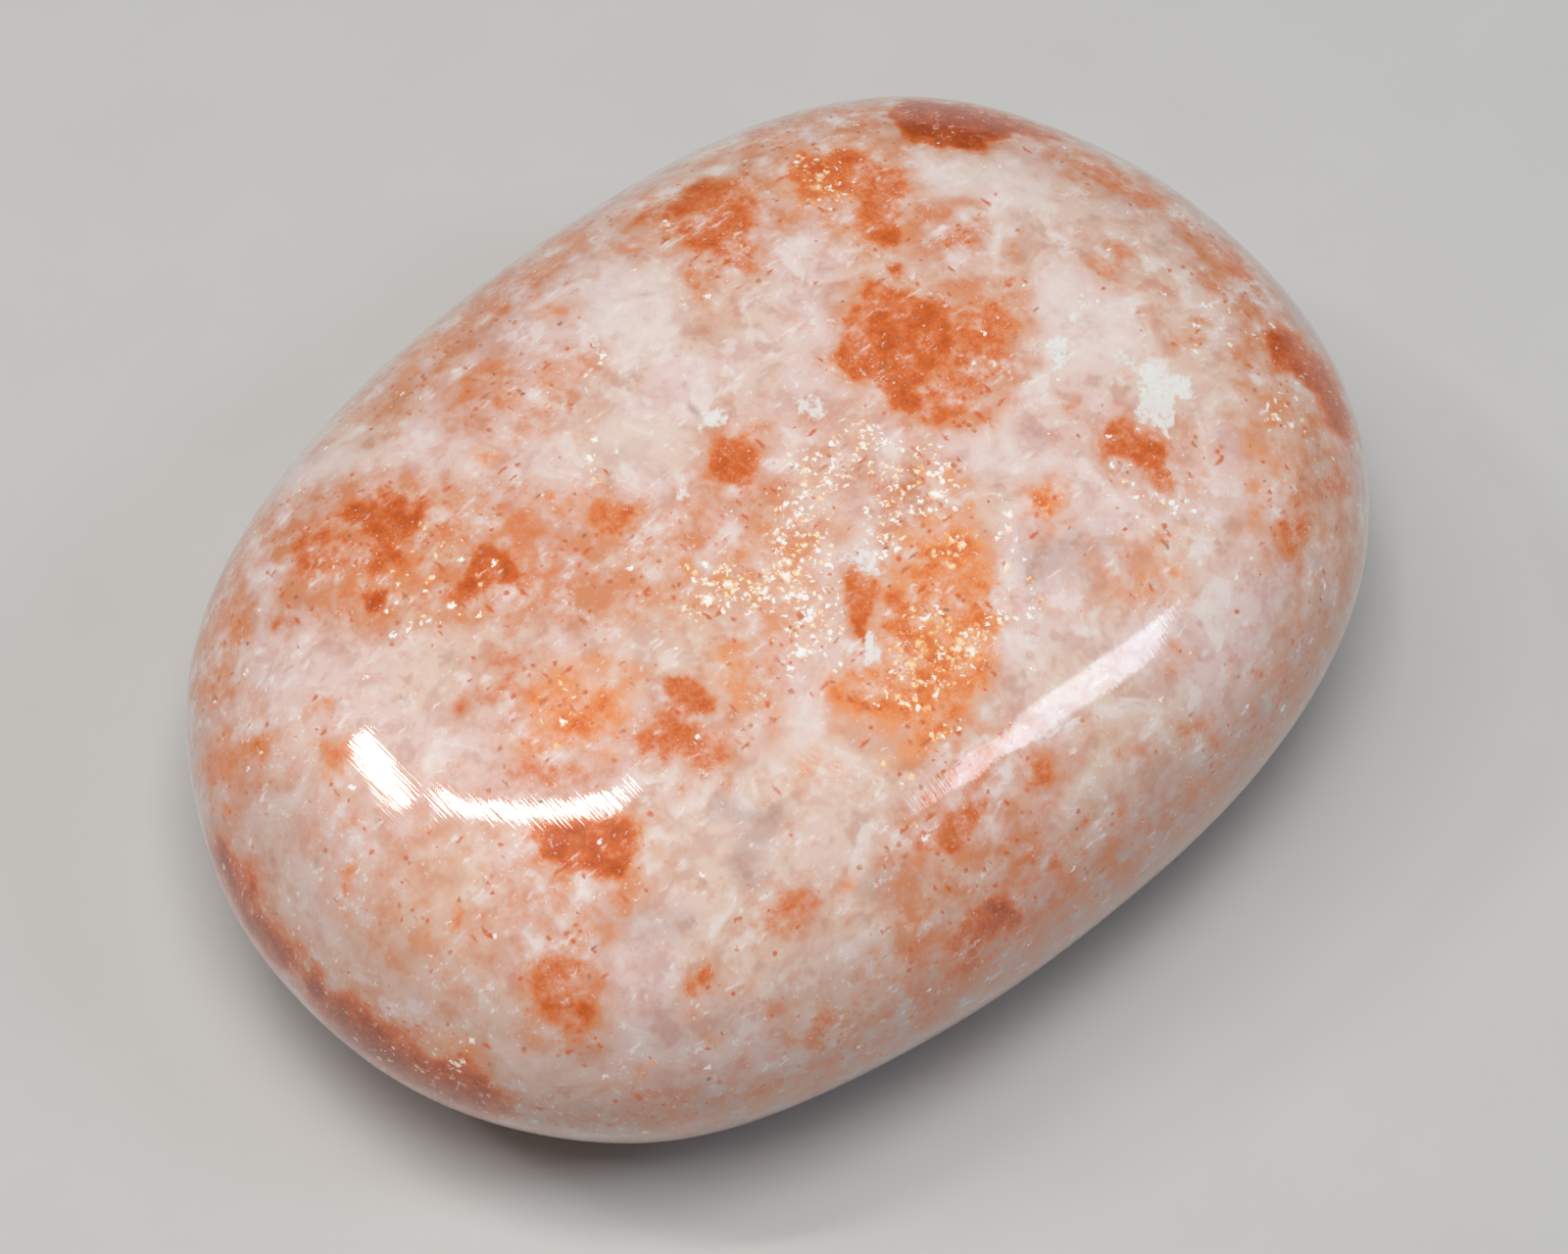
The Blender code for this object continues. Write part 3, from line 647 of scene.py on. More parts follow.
# bright white flakes and fine cracks just under the surface
chipMarks = [
    (0.95, 0, 0, 0.12, [(13.1, 14.6), (13.6, 14.2), (14, 13.8), (14.2, 13.2), (13.8, 12.9), (13.4, 12.8),
        (13.4, 13.3), (13, 13.8)]),
    (0.6, 0, 0, 0.2, [(16.2, 13.5), (16.9, 13.6), (17.4, 13.1), (17.2, 12.7), (16.6, 12.9)]),
    (0.95, 0, 0, 0.12, [(17.9, 13.1), (18.4, 12.9), (18.5, 12.5), (19.2, 12.4), (19.9, 12.2), (20.3, 11.5),
        (19.9, 11.3), (19.3, 11.2), (19, 10.9), (19.3, 10.4), (19.2, 10.1), (18.8, 9.9), (19.1, 9.4),
        (18.9, 9.3), (18.4, 9.8), (17.9, 10.1), (17.3, 10.3), (16.9, 10.8), (17.3, 11.2), (17.2, 11.8),
        (17.6, 12.3), (17.3, 12.6)]),
    (0.95, 0, 0, 0.12, [(-4.1, 10.4), (-3.6, 10.6), (-2.9, 10.7), (-2.7, 10.2), (-3.2, 9.9), (-3.6, 9.7),
        (-3.8, 10), (-4.2, 10.1)]),
    (0.95, 0, 0, 0.12, [(0.5, 11.3), (0.9, 11.1), (1.2, 11.5), (1.5, 11.2), (1.9, 11.1), (1.6, 10.7),
        (1.8, 10.4), (1.4, 10.3), (1.1, 10.1), (0.8, 10.4), (0.4, 10.5), (0.7, 10.8)]),
    (0.8, 0, 0, 0.12, [(0, 12.2), (0.6, 12.2), (1.1, 11.95), (0.7, 11.85), (0.2, 12)]),
    (0.9, 0, 0, 0.12, [(-5.2, 7.2), (-4.9, 7.2), (-4.8, 6.8), (-4.3, 6.6), (-4.7, 6.3), (-4.9, 6.1),
        (-5.3, 6.1), (-5.1, 6.6)]),
    (0.9, 0, 0, 0.12, [(4.2, 0.5), (4.5, 0.1), (4.6, -0.6), (4.95, -1.2), (4.5, -1.9), (4.1, -1.9),
        (4.1, -0.8)]),
    (0.6, 0, 0.25, 0.2, [(-25.6, -2), (-25.5, -2.6)]),
    (0.6, 0, 0.25, 0.2, [(14.3, 15.1), (14.9, 15.1)]),
    (0.7, 0, 0.2, 0.15, [(-9.6, 11.3)]),
    (0.8, 0, 0.15, 0.15, [(-23.1, -11.9)]),
    (0.5, 0, 0.12, 0.15, [(6.5, 17.1), (7.6, 16.3), (8.1, 15.8)]),
    (0.45, 0, 0.08, 0.15, [(-1.2, 16.9), (-0.5, 16.8), (0.5, 16.3), (1.8, 16)]),
    (0.4, 0, 0.08, 0.15, [(1.5, 15.2), (2.4, 14.7)]),
    (0.4, 0, 0.08, 0.15, [(-5, 16.6), (-4.8, 15.9)]),
    (0.45, 0, 0.08, 0.15, [(-2.8, 12.9), (-2.5, 12.1), (-2.1, 11.7), (-1.5, 11.5)]),
    (0.4, 0, 0.08, 0.15, [(-9.2, 14.5), (-9.6, 13), (-9.8, 12)]),
    (0.4, 0, 0.08, 0.15, [(-7.8, -0.4), (-7.5, -1.2), (-7.3, -2)]),
    (0.35, 0, 0.08, 0.15, [(-6, -2.2), (-6.4, -3.4), (-7.2, -4.6), (-8, -5.6)]),
    (0.5, 0, 0.08, 0.15, [(-3.2, -3.9), (-2.2, -3.5), (-0.8, -3.4), (0.6, -3.3)]),
    (0.4, 0, 0.08, 0.15, [(-3.2, -4), (-2.4, -4.4), (-1.6, -4.6)]),
    # painted glints: a thin white line standing for a chain of sparkles
    (0.55, 0, 0.07, 0.12, [(11.05, 4.4), (11.1, 2.6)]),
    (0.5, 0, 0, 0.25, [(2.2, 3), (3.2, 3.9), (4.5, 3.9), (4.5, 2.4), (3.7, 2.3), (3, 2.7)]),
    (0.45, 0, 0.08, 0.15, [(3.2, 5.6), (4.2, 5.6), (4.6, 5), (4.4, 4.5), (3.6, 4.2)]),
    (0.4, 0, 0.08, 0.15, [(18.2, 4.6), (19, 4.6)]),
    (0.4, 0, 0.08, 0.15, [(-16, -1.6), (-16.8, -2.6)]),
    (0.4, 0, 0.08, 0.15, [(18.6, -3.9), (19.8, -4)]),
]

# where the platelets lie thick, which sets how many painted glints there are and how gold they are, and where
# the flecks gather
plateletAndPaintedGlintMarks = [
    (0.8, 0.35, 0, 0.8, [(-1, 3), (0, 6.5), (0.5, 8.6), (2, 9.3), (4, 10), (5.4, 9.2), (4.2, 8), (2.5, 6.4),
        (1.8, 5), (2.2, 3), (2.4, 1), (3, -0.5), (2, -2), (0, -1.8), (-0.4, 0.4)]),
    (0.85, 0.5, 0, 0.8, [(-5, 2.4), (-4.4, 3.4), (-3, 3.6), (-1, 3), (0.8, 3), (0.8, 1), (-1, 0.6),
        (-3.6, 0.6), (-4.9, 0.6)]),
    (0.7, 0.4, 0, 0.8, [(4, 9), (6, 9), (8.5, 8.8), (8.6, 6), (8.2, 5), (5.6, 5.4), (5.6, 3), (4, 4),
        (4.2, 7)]),
    (0.95, 1, 0, 0.6, [(7.2, 4.8), (8.8, 4.6), (8.9, 2.8), (7.6, 3)]),
    (0.9, 0.8, 0, 0.6, [(6, 1), (8.4, 0.6), (10, 0.5), (11.4, 0.4), (10.8, -0.8), (9.4, -2), (8, -3.2),
        (6.6, -5.8), (8.2, -6), (8.6, -5), (6, -4), (5.2, -3), (5, -1)]),
    # a chain of painted glints down the right of the orange mass
    (1.1, 0.2, 0.15, 0.3, [(11, 5.8), (11.1, 0.8)]),
    (1.25, 0.7, 0.5, 0.4, [(8, 4.2), (8.4, 3.7)]),
    (0.3, 0.5, 1.2, 1.2, [(12, 1.5)]),
    (0.3, 0.6, 1, 1, [(5, -7)]),
    (0.45, 0.3, 0.6, 0.6, [(-18.2, -0.2), (-17.5, 0.2)]),
    (0.45, 0.4, 0.3, 0.4, [(-22.2, 3.6)]),
    (0.45, 0.7, 0.4, 0.4, [(-17.8, 5)]),
    (0.35, 0.3, 0.9, 0.8, [(-9, 8)]),
    (0.3, 0.3, 0.7, 0.8, [(16.4, 8), (17.1, 7.9), (17.6, 6.3), (19.2, 5.6), (20.5, 8)]),
    (0.3, 0.3, 0.6, 0.7, [(15.5, 16)]),
    (0.3, 0.3, 0.9, 0.7, [(21.1, 14), (21.3, 15.8)]),
    (0.4, 0.5, 1.1, 0.8, [(24.4, 10.6)]),
    (0.4, 0.9, 0.4, 0.4, [(-6.7, -21.2)]),
    (0.6, 0.9, 0, 0.4, [(-19.5, 10.9), (-17.8, 10.9), (-17.8, 11.6), (-19.5, 11.6)]),
    (0.6, 0.9, 0.3, 0.4, [(-11.6, 11.3)]),
    (0.7, 0.8, 1, 0.6, [(1.4, 22.4), (2.3, 21.4)]),
    (0.4, 0.8, 0.4, 0.4, [(-2.7, 18.9), (-2.2, 18.9)]),
    (0.4, 0.8, 0.4, 0.4, [(-5.7, 19.7)]),
    (0.5, 0.9, 0.8, 0.6, [(-17.2, -21.4), (-16.4, -21.2)]),
    (0.4, 0.2, 0.5, 0.5, [(-19.8, -21.3), (-19.2, -20.6)]),
    (0.5, 1, 0.7, 0.5, [(12.8, 6)]),
    (0.3, 0.8, 1.5, 1.2, [(-15.5, 3), (-18.5, 2.5)]),
    (0.3, 0.8, 1.2, 1.2, [(-11, -4.5)]),
]

# on the side and underneath, seen level from behind
hiddenRust = [
    (0.8, 0.4, 0, 0.4, [(-24, 4), (-20, 7), (-16, 6), (-15, 2), (-18, -1), (-22, 0)]),
    (0.55, 0.7, 0, 0.6, [(-11, -3), (-8, -1), (-4, -2), (-3, -5), (-6, -8), (-10, -6)]),
    (0.7, 0.3, 0, 0.3, [(-2, 6), (1, 8), (5, 7), (6, 4), (3, 2), (0, 3)]),
    (0.45, 0.3, 0, 0.6, [(8, -4), (12, -1), (16, -2), (15, -6), (11, -8)]),
    (0.75, 0.4, 0, 0.4, [(17, 5), (20, 7), (24, 5), (25, 1), (22, 0), (19, 2)]),
    (0.5, 0.5, 0.8, 0.6, [(-13, 1), (-9, 3), (-6, 2)]),
    (0.6, 0.2, 0.6, 0.4, [(9, 3), (13, 5)]),
    (0.9, 0.2, 0.5, 0.3, [(-19, 4)]),
    (0.9, 0.2, 0.4, 0.3, [(21.5, 4)]),
    (0.4, 0.9, 1.4, 0.8, [(2, -4), (5, -6)]),
]
hiddenMilk = [
    (0.8, 0, 0, 0.9, [(-14, -4), (-12, 0), (-16, -1), (-20, -4), (-17, -7)]),
    (0.7, 0, 1.6, 1, [(-4, 1), (-1, -1), (3, -1)]),
    (0.8, 0, 0, 0.8, [(6, 1), (10, 2), (16, 3), (15, 0), (9, -1)]),
]

pattern = {
    "hiddenTurn": 138, "hiddenHeight": 8,  # the view that the marks on the far side are laid out in
    "wander": 0.30, "wanderMm": 1.5, "ripple": 0.16, "rippleMm": 0.6,  # noise that bends the marks' edges
    "bendMm": 1.5, "hiddenBendMm": 3,  # and how far it bends them
    "spreadMm": 1.0,  # the soft halo round a mark
    "beyond": 0.45, "beyondMm": 4,  # how far the marks run on past the outline, and how unevenly
    "turnsAway": (-0.16, 0.06), "hiddenTurnsAway": (-0.5, 0.1),
    # what is strewn where the photograph doesn't show the stone
    "cloud": 0.7, "cloudMm": 5.5, "wisp": 0.4, "wispMm": 2.2, "toneMm": 7,
    "rustFrom": (0.08, 0.45), "rustMost": 0.75, "haloFrom": (-0.05, 0.35), "haloMost": 0.6,
    "milkMm": 6, "milkFrom": (0.15, 0.5), "milkMost": 0.8,
    "glitterMm": 6, "glitterFrom": (0.2, 0.5), "glitterMost": 0.5,
}


def insideBy(spots, corners, halfWidth):
    # how far inside the mark each spot lies, in mm, below zero outside it
    closed = halfWidth == 0
    ends = np.roll(corners, -1, axis=0) if closed else corners[1:] if len(corners) > 1 else corners
    inside = np.zeros(len(spots), bool)
    nearest = np.full(len(spots), np.inf)
    for start, end in zip(corners, ends):
        run = end - start
        away = spots - start
        share = np.clip(away @ run / max(run @ run, 1e-9), 0, 1)
        nearest = np.minimum(nearest, np.linalg.norm(away - share[:, None] * run, axis=1))
        if closed and start[1] != end[1]:
            crosses = (start[1] > spots[:, 1]) != (end[1] > spots[:, 1])
            reach = start[0] + (spots[:, 1] - start[1]) * run[0] / run[1]
            inside ^= crosses & (spots[:, 0] < reach)
    return np.where(inside, nearest, -nearest) if closed else halfWidth - nearest


def layMarks(spots, faces, marks):
    # how strong the marks are at each spot, the soft halo round them, and their tone there
    spread = pattern["spreadMm"]
    strength, halo, tones = np.zeros((3, len(spots)))
    weight = np.full(len(spots), 1e-6)
    for strong, tone, halfWidth, edge, points in marks:
        corners = np.array(points, float)
        margin = halfWidth + edge + spread + 0.2
        near = np.all((spots > corners.min(0) - margin) & (spots < corners.max(0) + margin), axis=1)
        near = np.flatnonzero(near & (faces > 0))
        deep = insideBy(spots[near], corners, halfWidth)
        strength[near] = np.maximum(strength[near], strong * smooth(deep, -edge, edge) * faces[near])
        wide = smooth(deep, -edge - spread, edge + 0.2) * faces[near]
        halo[near] = np.maximum(halo[near], strong * wide)
        tones[near] += wide * tone
        weight[near] += wide
    return strength, halo, tones / weight


def noiseField(points, sizeMm, seed):
    offset = Vector((seed * 17.3, seed * 5.1, seed * 9.7))
    return np.array([noise.noise(Vector(p) * (1 / mm / sizeMm) + offset) for p in points])


def strewn(unseen, cover, name):
    return unseen * smooth(cover, *pattern[name + "From"]) * pattern[name + "Most"]


def paintStone(obj):
    points, normals = pointsOf(obj), normalsOf(obj)
    spots, towards = pictureSpots(points, camera["turn"], camera["height"], eye)
    hiddenSpots, hiddenTowards = pictureSpots(points, pattern["hiddenTurn"], pattern["hiddenHeight"], None)
    # edges wander a little, as the clouds of platelets do
    wander = np.stack([pattern["wander"] * noiseField(points, pattern["wanderMm"], seed)
                       + pattern["ripple"] * noiseField(points, pattern["rippleMm"], seed + 2)
                       for seed in (1, 2)], 1)
    spots = spots + wander * pattern["bendMm"]
    hiddenSpots = hiddenSpots + wander * pattern["hiddenBendMm"]
    # the marks run on past the outline by an uneven amount, so that none is cut off straight there
    beyond = pattern["beyond"] * np.clip(0.25 + noiseField(points, pattern["beyondMm"], 16), 0, 1)
    faces = smooth(normals @ towards + beyond, *pattern["turnsAway"])
    unseen = 1 - faces
    hiddenFaces = unseen * smooth(normals @ hiddenTowards, *pattern["hiddenTurnsAway"])

    # rust clouds and the warm tints round them, with painted shade in some bands along the lower rims
    rust, halo, tone = layMarks(spots, faces, rustAndShadeMarks)
    hidden, hiddenHalo, hiddenTone = layMarks(hiddenSpots, hiddenFaces, hiddenRust)
    tintAndShade, _, tintTone = layMarks(spots, faces, tintAndShadeMarks)
    clouds = pattern["cloud"] * noiseField(points, pattern["cloudMm"], 11)
    clouds = clouds + pattern["wisp"] * noiseField(points, pattern["wispMm"], 12)
    strewnTone = 0.5 + noiseField(points, pattern["toneMm"], 13)
    tone = np.where(halo > 0.01, tone, tintTone)
    tone = np.where(faces > 0.5, tone, np.where(hidden > 0.02, hiddenTone, strewnTone))
    rust = np.maximum(np.maximum(rust, hidden), strewn(unseen, clouds, "rust"))
    halo = np.maximum(np.maximum(halo, tintAndShade), hiddenHalo)
    halo = np.maximum(halo, strewn(unseen, clouds, "halo"))

    # milky and grey veils, white flakes, and the glitter that places the painted glints; the grey bands along
    # the lower rim are partly painted shade
    milk, _, peach = layMarks(spots, faces, milkMarks)
    milk = np.maximum(milk, layMarks(hiddenSpots, hiddenFaces, hiddenMilk)[0])
    milk = np.maximum(milk, strewn(unseen, noiseField(points, pattern["milkMm"], 14), "milk"))
    grey, _, mauve = layMarks(spots, faces, greyVeilAndShadeMarks)
    chip, _, _ = layMarks(spots, faces, chipMarks)
    # the glitter field places the painted glints and gathers the flecks
    glitter, _, gold = layMarks(spots, faces, plateletAndPaintedGlintMarks)
    glitter = np.maximum(glitter, strewn(unseen, noiseField(points, pattern["glitterMm"], 15), "glitter"))
    fields = {"rust": rust, "halo": halo, "tone": tone, "milk": milk, "peach": peach, "grey": grey,
              "mauve": mauve, "chip": chip, "glitter": glitter, "gold": gold}
    for name, values in fields.items():
        attribute = obj.data.attributes.new(name, "FLOAT", "POINT")
        attribute.data.foreach_set("value", values.astype(np.float32))
    return list(fields)


fieldNames = paintStone(stoneObj)
markLists = (rustAndShadeMarks, milkMarks, tintAndShadeMarks, greyVeilAndShadeMarks, chipMarks, plateletAndPaintedGlintMarks, hiddenRust, hiddenMilk)
print("marks laid on the stone:", sum(len(marks) for marks in markLists))

# polished sunstone: pale feldspar, cloudy with rust-red and gold platelets. The polish closes its surface, so
# that it mirrors the lamps sharply and the eye looks through to the softer, slightly see-through body
finish = {
    "pinkWhite": "ead0ca", "cream": "e8cebf", "peach": "e2ab94", "clear": "d3a396", "mauve": "c79384",
    # greyMauve also paints shade into the bands along the lower rim
    "milk": "f1e4e0", "milkPeach": "ecd2bf", "grey": "c0aca4", "greyMauve": "b08a80",
    "haloBrown": "d68d6a", "haloOrange": "eea579",
    # the deepest brown is reached in the darkest clouds and in the rim bands, where it is partly painted
    # shade
    "brownStops": [(0.10, "e6a988"), (0.32, "e0926b"), (0.52, "de8052"), (0.70, "d46a36"), (0.98, "a8450e")],
    "orangeStops": [(0.10, "f6bc97"), (0.32, "f4a974"), (0.52, "f1965c"), (0.70, "e97e46"), (0.95, "d8602c")],
    "fleckStops": [(0.0, "dc6b36"), (0.65, "dc6b36"), (0.75, "cc8058"), (0.96, "cc8058"), (0.98, "9a6a56")],
    # painted glints: white in the middle, then gold, then orange at their edges
    "paintedGlintStops": [(0.0, "fffdfa"), (0.45, "ffdeb2"), (1.0, "fb9f58")],
    "chip": "f0f2f1", "grain": "f8f0ee",
    "roughness": 0.30, "bodyShine": 0.2, "coatRoughness": 0.05, "ior": 1.54,
    "underWeight": 0.2, "underMm": 1.0, "underReach": (1, 0.55, 0.4),  # red light goes deepest
    # how strongly a noise breaks each layer up and what is then taken off it, where the layer starts and is
    # full, and how much of it shows at most
    "milkGrit": 2.2, "milkLess": -0.25, "tintGrit": 2.2, "tintBlots": 3.2, "tintLess": -1.87,
    "rustHalo": 0.22, "rustBlots": 0.9, "rustGrit": 1.0, "rustGrain": 0.75, "rustDepth": 0.7,
    "rustFrom": 0.18, "rustFull": 1.05, "rustEdge": 0.18, "rustAway": 0.25,
    "streakMost": 0.55, "sugarMost": 0.6, "sugarAway": 0.2, "fleckMost": 0.85, "fleckZone": 1.5,
    "chipGrit": 2.4, "chipLess": -2.45, "chipFrom": 0.10, "chipFull": 0.95, "chipMost": 0.82,
    "goldLess": 0.97,
    "raggedMm": 0.30, "fleckMm": 0.40, "speckMm": 0.42,
    "paintedGlintMm": 0.32, "paintedSparkMm": 0.70, "streakMm": 0.28, "streakThin": (0.22, 1, 0.5),
    # real hairlines are far finer than this; these are as coarse as they need to be to show in the highlights
    "scratchMm": 0.09, "scratchLong": 26, "scratchDeep": 0.0024,
}

# noise on the stone's own coordinates: its size in mm, detail, roughness and distortion
noises = {
    "broad": (6.0, 2, 0.5, 0),
    "wisps": (2.6, 3, 0.62, 0.8),
    "blots": (1.5, 2, 0.55, 0),
    "grit": (1.0, 3, 0.68, 0),
    "grain": (0.30, 2, 0.65, 0),  # finer grain than this wouldn't show
}


def polishedSunstone(name):
    material = bpy.data.materials.new(name)
    material.use_nodes = True
    tree = material.node_tree
    shader = tree.nodes["Principled BSDF"]
    hue = {key: linear(value) for key, value in finish.items() if isinstance(value, str)}
    fields = {key: put(tree, "Attribute", {}, out="Fac", attribute_name=key) for key in fieldNames}
    soft = {"interpolation_type": "SMOOTHSTEP"}
    blend = {"out": 2, "data_type": "RGBA"}
    place = put(tree, "TexCoord", {}, out="Object")
    place = put(tree, "VectorMath", {0: place, 3: 1 / mm}, operation="SCALE")
    broad, wisps, blots, grit, grain = [
        put(tree, "TexNoise", {"Vector": place, "Scale": 1 / sizeMm, "Detail": detail, "Roughness": rough,
                               "Distortion": bent}) for sizeMm, detail, rough, bent in noises.values()]
    # ragged coordinates, so that no fleck or glint is a clean dot
    jitter = put(tree, "VectorMath", {0: grain.node.outputs["Color"], 1: (-0.5, -0.5, -0.5)}, operation="ADD")
    ragged, broken = [
        put(tree, "VectorMath", {0: jitter, 1: (times * finish["raggedMm"],) * 3, 2: place},
            operation="MULTIPLY_ADD") for times in (1, 2)]

    # the pale feldspar, clearer and pinker in some places and milkier in others: each layer is what its share
    # follows, where that starts and is full, how much of the layer shows and its colour
    pale = put(tree, "MapRange", {0: broad, 1: 0.42, 2: 0.62}, **soft)
    pale = put(tree, "Mix", {0: pale, 6: hue["pinkWhite"], 7: hue["cream"]}, **blend)
    for source, start, full, most, colour in (
        (grit, 0.50, 0.68, 0.50, "peach"),
        (wisps, 0.50, 0.34, 0.50, "clear"),
        (blots, 0.55, 0.68, 0.45, "mauve"),
        (wisps, 0.53, 0.66, 0.75, "milk"),
        (blots, 0.42, 0.30, 0.60, "milk"),
    ):
        share = put(tree, "MapRange", {0: source, 1: start, 2: full, 4: most}, **soft)
        pale = put(tree, "Mix", {0: share, 6: pale, 7: hue[colour]}, **blend)
    share = put(tree, "Math", {0: grit, 1: finish["milkGrit"], 2: finish["milkLess"]},
                operation="MULTIPLY_ADD")
    share = put(tree, "Math", {0: share, 1: fields["milk"]}, operation="MULTIPLY", use_clamp=True)
    milk = put(tree, "Mix", {0: fields["peach"], 6: hue["milk"], 7: hue["milkPeach"]}, **blend)
    pale = put(tree, "Mix", {0: share, 6: pale, 7: milk}, **blend)
    grey = put(tree, "Mix", {0: fields["mauve"], 6: hue["grey"], 7: hue["greyMauve"]}, **blend)
    pale = put(tree, "Mix", {0: fields["grey"], 6: pale, 7: grey}, **blend)

    # a warm tint deep down, blotched; along the lower rim it is partly painted shade
    share = put(tree, "Math", {0: grit, 1: finish["tintGrit"], 2: finish["tintLess"]},
                operation="MULTIPLY_ADD")
    share = put(tree, "Math", {0: blots, 1: finish["tintBlots"], 2: share}, operation="MULTIPLY_ADD")
    share = put(tree, "Math", {0: share, 1: fields["halo"]}, operation="MULTIPLY", use_clamp=True)
    tintAndShade = put(tree, "Mix", {0: fields["tone"], 6: hue["haloBrown"], 7: hue["haloOrange"]}, **blend)
    body = put(tree, "Mix", {0: share, 6: pale, 7: tintAndShade}, **blend)

    # above it the rust clouds, grained by their platelets and thin at their edges
    deep = put(tree, "Math", {0: fields["halo"], 1: finish["rustHalo"], 2: fields["rust"]},
               operation="MULTIPLY_ADD")
    for source, amount in ((blots, "rustBlots"), (grit, "rustGrit"), (grain, "rustGrain")):
        away = put(tree, "Math", {0: source, 1: 0.5}, operation="SUBTRACT")
        deep = put(tree, "Math", {0: away, 1: finish[amount], 2: deep}, operation="MULTIPLY_ADD")
    depth = put(tree, "Math", {0: deep, 1: finish["rustDepth"]}, operation="MULTIPLY")
    brown = put(tree, "ValToRGB", {0: depth}, stops=finish["brownStops"])
    orange = put(tree, "ValToRGB", {0: depth}, stops=finish["orangeStops"])
    rustColour = put(tree, "Mix", {0: fields["tone"], 6: brown, 7: orange}, **blend)
    covered = put(tree, "MapRange", {0: deep, 1: finish["rustFrom"], 2: finish["rustFull"]}, **soft)
    nearby = put(tree, "MapRange", {0: fields["rust"], 1: 0.0, 2: finish["rustEdge"], 3: finish["rustAway"]})
    covered = put(tree, "Math", {0: covered, 1: nearby}, operation="MULTIPLY")
    body = put(tree, "Mix", {0: covered, 6: body, 7: rustColour}, **blend)

    # single platelets, small specks and short needles lying two ways where they are seen edge on: how they
    # are turned, stretched and spaced, how many there are in and out of the tints, and how their size varies
    zone = put(tree, "Math", {0: fields["glitter"], 1: fields["halo"]}, operation="ADD", use_clamp=True)
    zone = put(tree, "Math", {0: zone, 1: finish["fleckZone"]}, operation="POWER")
    for spin, stretch, sizeMm, most, least, wide in (
        ((0, 0, 0), (1, 1, 1), finish["speckMm"], 0.42, 0.010, 0.42),
        ((0.3, 0.6, 0.6), (0.30, 1, 1), finish["fleckMm"], 0.34, 0.006, 0.32),
        ((0.3, -0.5, -0.5), (1, 0.30, 0.8), finish["fleckMm"], 0.34, 0.006, 0.32),
    ):
        laid = put(tree, "Mapping", {"Vector": ragged, "Rotation": spin, "Scale": stretch})
        cells = put(tree, "TexVoronoi", {"Vector": laid, "Scale": 1 / sizeMm})
        chance = put(tree, "SeparateColor", {0: cells.node.outputs["Color"]})
        wanted = put(tree, "Math", {0: zone, 1: most, 2: least}, operation="MULTIPLY_ADD")
        chosen = put(tree, "Math", {0: chance, 1: wanted}, operation="LESS_THAN")
        size = put(tree, "Math", {0: chance.node.outputs[2], 1: wide, 2: 0.08}, operation="MULTIPLY_ADD")
        needle = put(tree, "Math", {0: cells, 1: size}, operation="DIVIDE")
        needle = put(tree, "MapRange", {0: needle, 1: 1.1, 2: 0.3, 4: finish["fleckMost"]}, **soft)
        needle = put(tree, "Math", {0: needle, 1: chosen}, operation="MULTIPLY")
        shade = put(tree, "ValToRGB", {0: chance.node.outputs[1]}, stops=finish["fleckStops"])
        body = put(tree, "Mix", {0: needle, 6: body, 7: shade}, **blend)

    # short crystal streaks and sugary white grains under the polish
    streaks = put(tree, "Mapping", {"Vector": ragged, "Rotation": (0, 0, 0.75),
                                    "Scale": finish["streakThin"]})
    streaks = put(tree, "TexNoise", {"Vector": streaks, "Scale": 1 / finish["streakMm"], "Detail": 1})
    streaks = put(tree, "MapRange", {0: streaks, 1: 0.62, 2: 0.72, 4: finish["streakMost"]}, **soft)
    clear = put(tree, "MapRange", {0: blots, 1: 0.52, 2: 0.38}, **soft)
    sugar = put(tree, "MapRange", {0: grain, 1: 0.60, 2: 0.70, 4: finish["sugarMost"]}, **soft)
    milky = put(tree, "MapRange", {0: wisps, 1: 0.45, 2: 0.62, 3: finish["sugarAway"]}, **soft)
    for grains, where in ((streaks, clear), (sugar, milky)):
        share = put(tree, "Math", {0: grains, 1: where}, operation="MULTIPLY")
        body = put(tree, "Mix", {0: share, 6: body, 7: hue["grain"]}, **blend)

    # painted glints: platelets that face the light, drawn as white to gold dots in the colour, many small
    # glints and a few
    # larger sparks among them: their spacing, how fast they thin out, how many there are in and out of the
    # glitter, and how their size varies
    for sizeMm, power, most, least, small, swing in (
        (finish["paintedGlintMm"], 1.2, 0.80, 0.004, 0.30, 0.36),
        (finish["paintedSparkMm"], 3.0, 0.75, 0.0, 0.16, 0.36),
    ):
        cells = put(tree, "TexVoronoi", {"Vector": broken, "Scale": 1 / sizeMm})
        chance = put(tree, "SeparateColor", {0: cells.node.outputs["Color"]})
        wanted = put(tree, "Math", {0: fields["glitter"], 1: power}, operation="POWER")
        wanted = put(tree, "Math", {0: wanted, 1: most, 2: least}, operation="MULTIPLY_ADD")
        chosen = put(tree, "Math", {0: chance, 1: wanted}, operation="LESS_THAN")
        size = put(tree, "Math", {0: chance.node.outputs[1], 1: swing, 2: small}, operation="MULTIPLY_ADD")
        dot = put(tree, "Math", {0: cells, 1: size}, operation="DIVIDE")
        paintedGlow = put(tree, "MapRange", {0: dot, 1: 1.0, 2: 0.5, 3: 0.45, 4: 0.0})
        dot = put(tree, "MapRange", {0: dot, 1: 1.3, 2: 0.5}, **soft)
        dot = put(tree, "Math", {0: dot, 1: chosen}, operation="MULTIPLY")
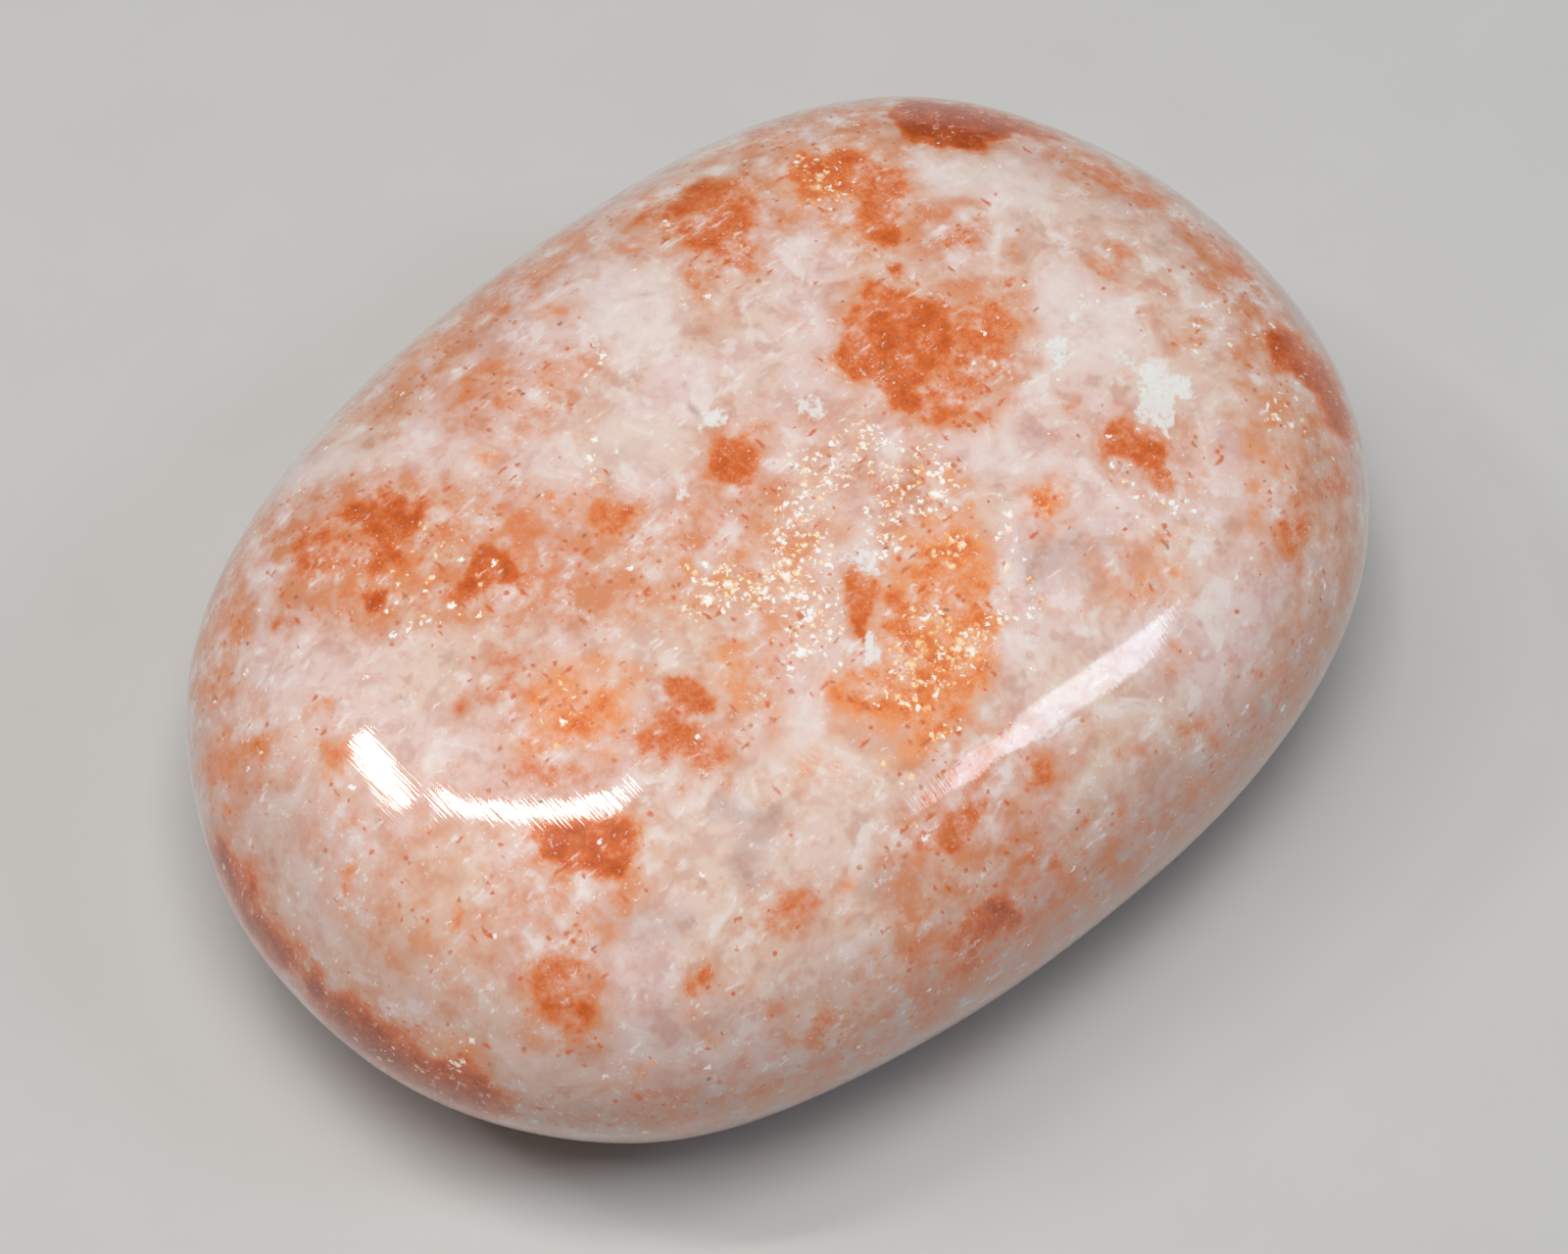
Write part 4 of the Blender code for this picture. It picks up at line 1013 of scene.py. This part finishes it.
        # painted glint colour: whiter in the middle, with a painted warm glow at the edge, and more golden
        # where the marks say so
        gold = put(tree, "Math", {0: fields["gold"], 1: finish["goldLess"]}, operation="SUBTRACT")
        gold = put(tree, "Math", {0: chance.node.outputs[2], 1: gold}, operation="ADD")
        gold = put(tree, "Math", {0: gold, 1: paintedGlow}, operation="ADD")
        paintedGlint = put(tree, "ValToRGB", {0: gold}, stops=finish["paintedGlintStops"])
        body = put(tree, "Mix", {0: dot, 6: body, 7: paintedGlint}, **blend)

    # white flakes just under the surface, ragged at their edges
    chips = put(tree, "Math", {0: grit, 1: grain}, operation="ADD")
    chips = put(tree, "Math", {0: chips, 1: finish["chipGrit"], 2: finish["chipLess"]},
                operation="MULTIPLY_ADD")
    chips = put(tree, "Math", {0: chips, 1: fields["chip"]}, operation="ADD")
    chips = put(tree, "MapRange", {0: chips, 1: finish["chipFrom"], 2: finish["chipFull"],
                                   4: finish["chipMost"]}, **soft)
    present = put(tree, "MapRange", {0: fields["chip"], 1: 0.02, 2: 0.12})
    chips = put(tree, "Math", {0: chips, 1: present}, operation="MULTIPLY")
    body = put(tree, "Mix", {0: chips, 6: body, 7: hue["chip"]}, **blend)
    tree.links.new(body, shader.inputs["Base Color"])

    # hairline scratches crossing each other, seen where the polish mirrors a lamp
    relief = 0.0
    thin = 1 / finish["scratchLong"]
    for spin in (0.35, -0.6):
        lines = put(tree, "Mapping", {"Vector": place, "Rotation": (0, 0, spin), "Scale": (1, thin, thin)})
        lines = put(tree, "TexNoise", {"Vector": lines, "Scale": 1 / finish["scratchMm"], "Detail": 0})
        relief = put(tree, "Math", {0: lines, 1: relief}, operation="ADD")
    bump = put(tree, "Bump", {"Height": relief, "Distance": finish["scratchDeep"] * mm})
    tree.links.new(bump, shader.inputs["Normal"])
    tree.links.new(bump, shader.inputs["Coat Normal"])

    for socket, value in {
        "Roughness": finish["roughness"], "IOR": finish["ior"], "Specular IOR Level": finish["bodyShine"],
        "Coat Weight": 1, "Coat Roughness": finish["coatRoughness"], "Coat IOR": finish["ior"],
        "Subsurface Weight": finish["underWeight"], "Subsurface Scale": finish["underMm"] * mm,
        "Subsurface Radius": finish["underReach"],
    }.items():
        shader.inputs[socket].default_value = value
    return material


stoneObj.data.materials.append(polishedSunstone("polishedSunstone"))
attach(stoneObj, "root")
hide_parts("sunstone")
print("stone finished")
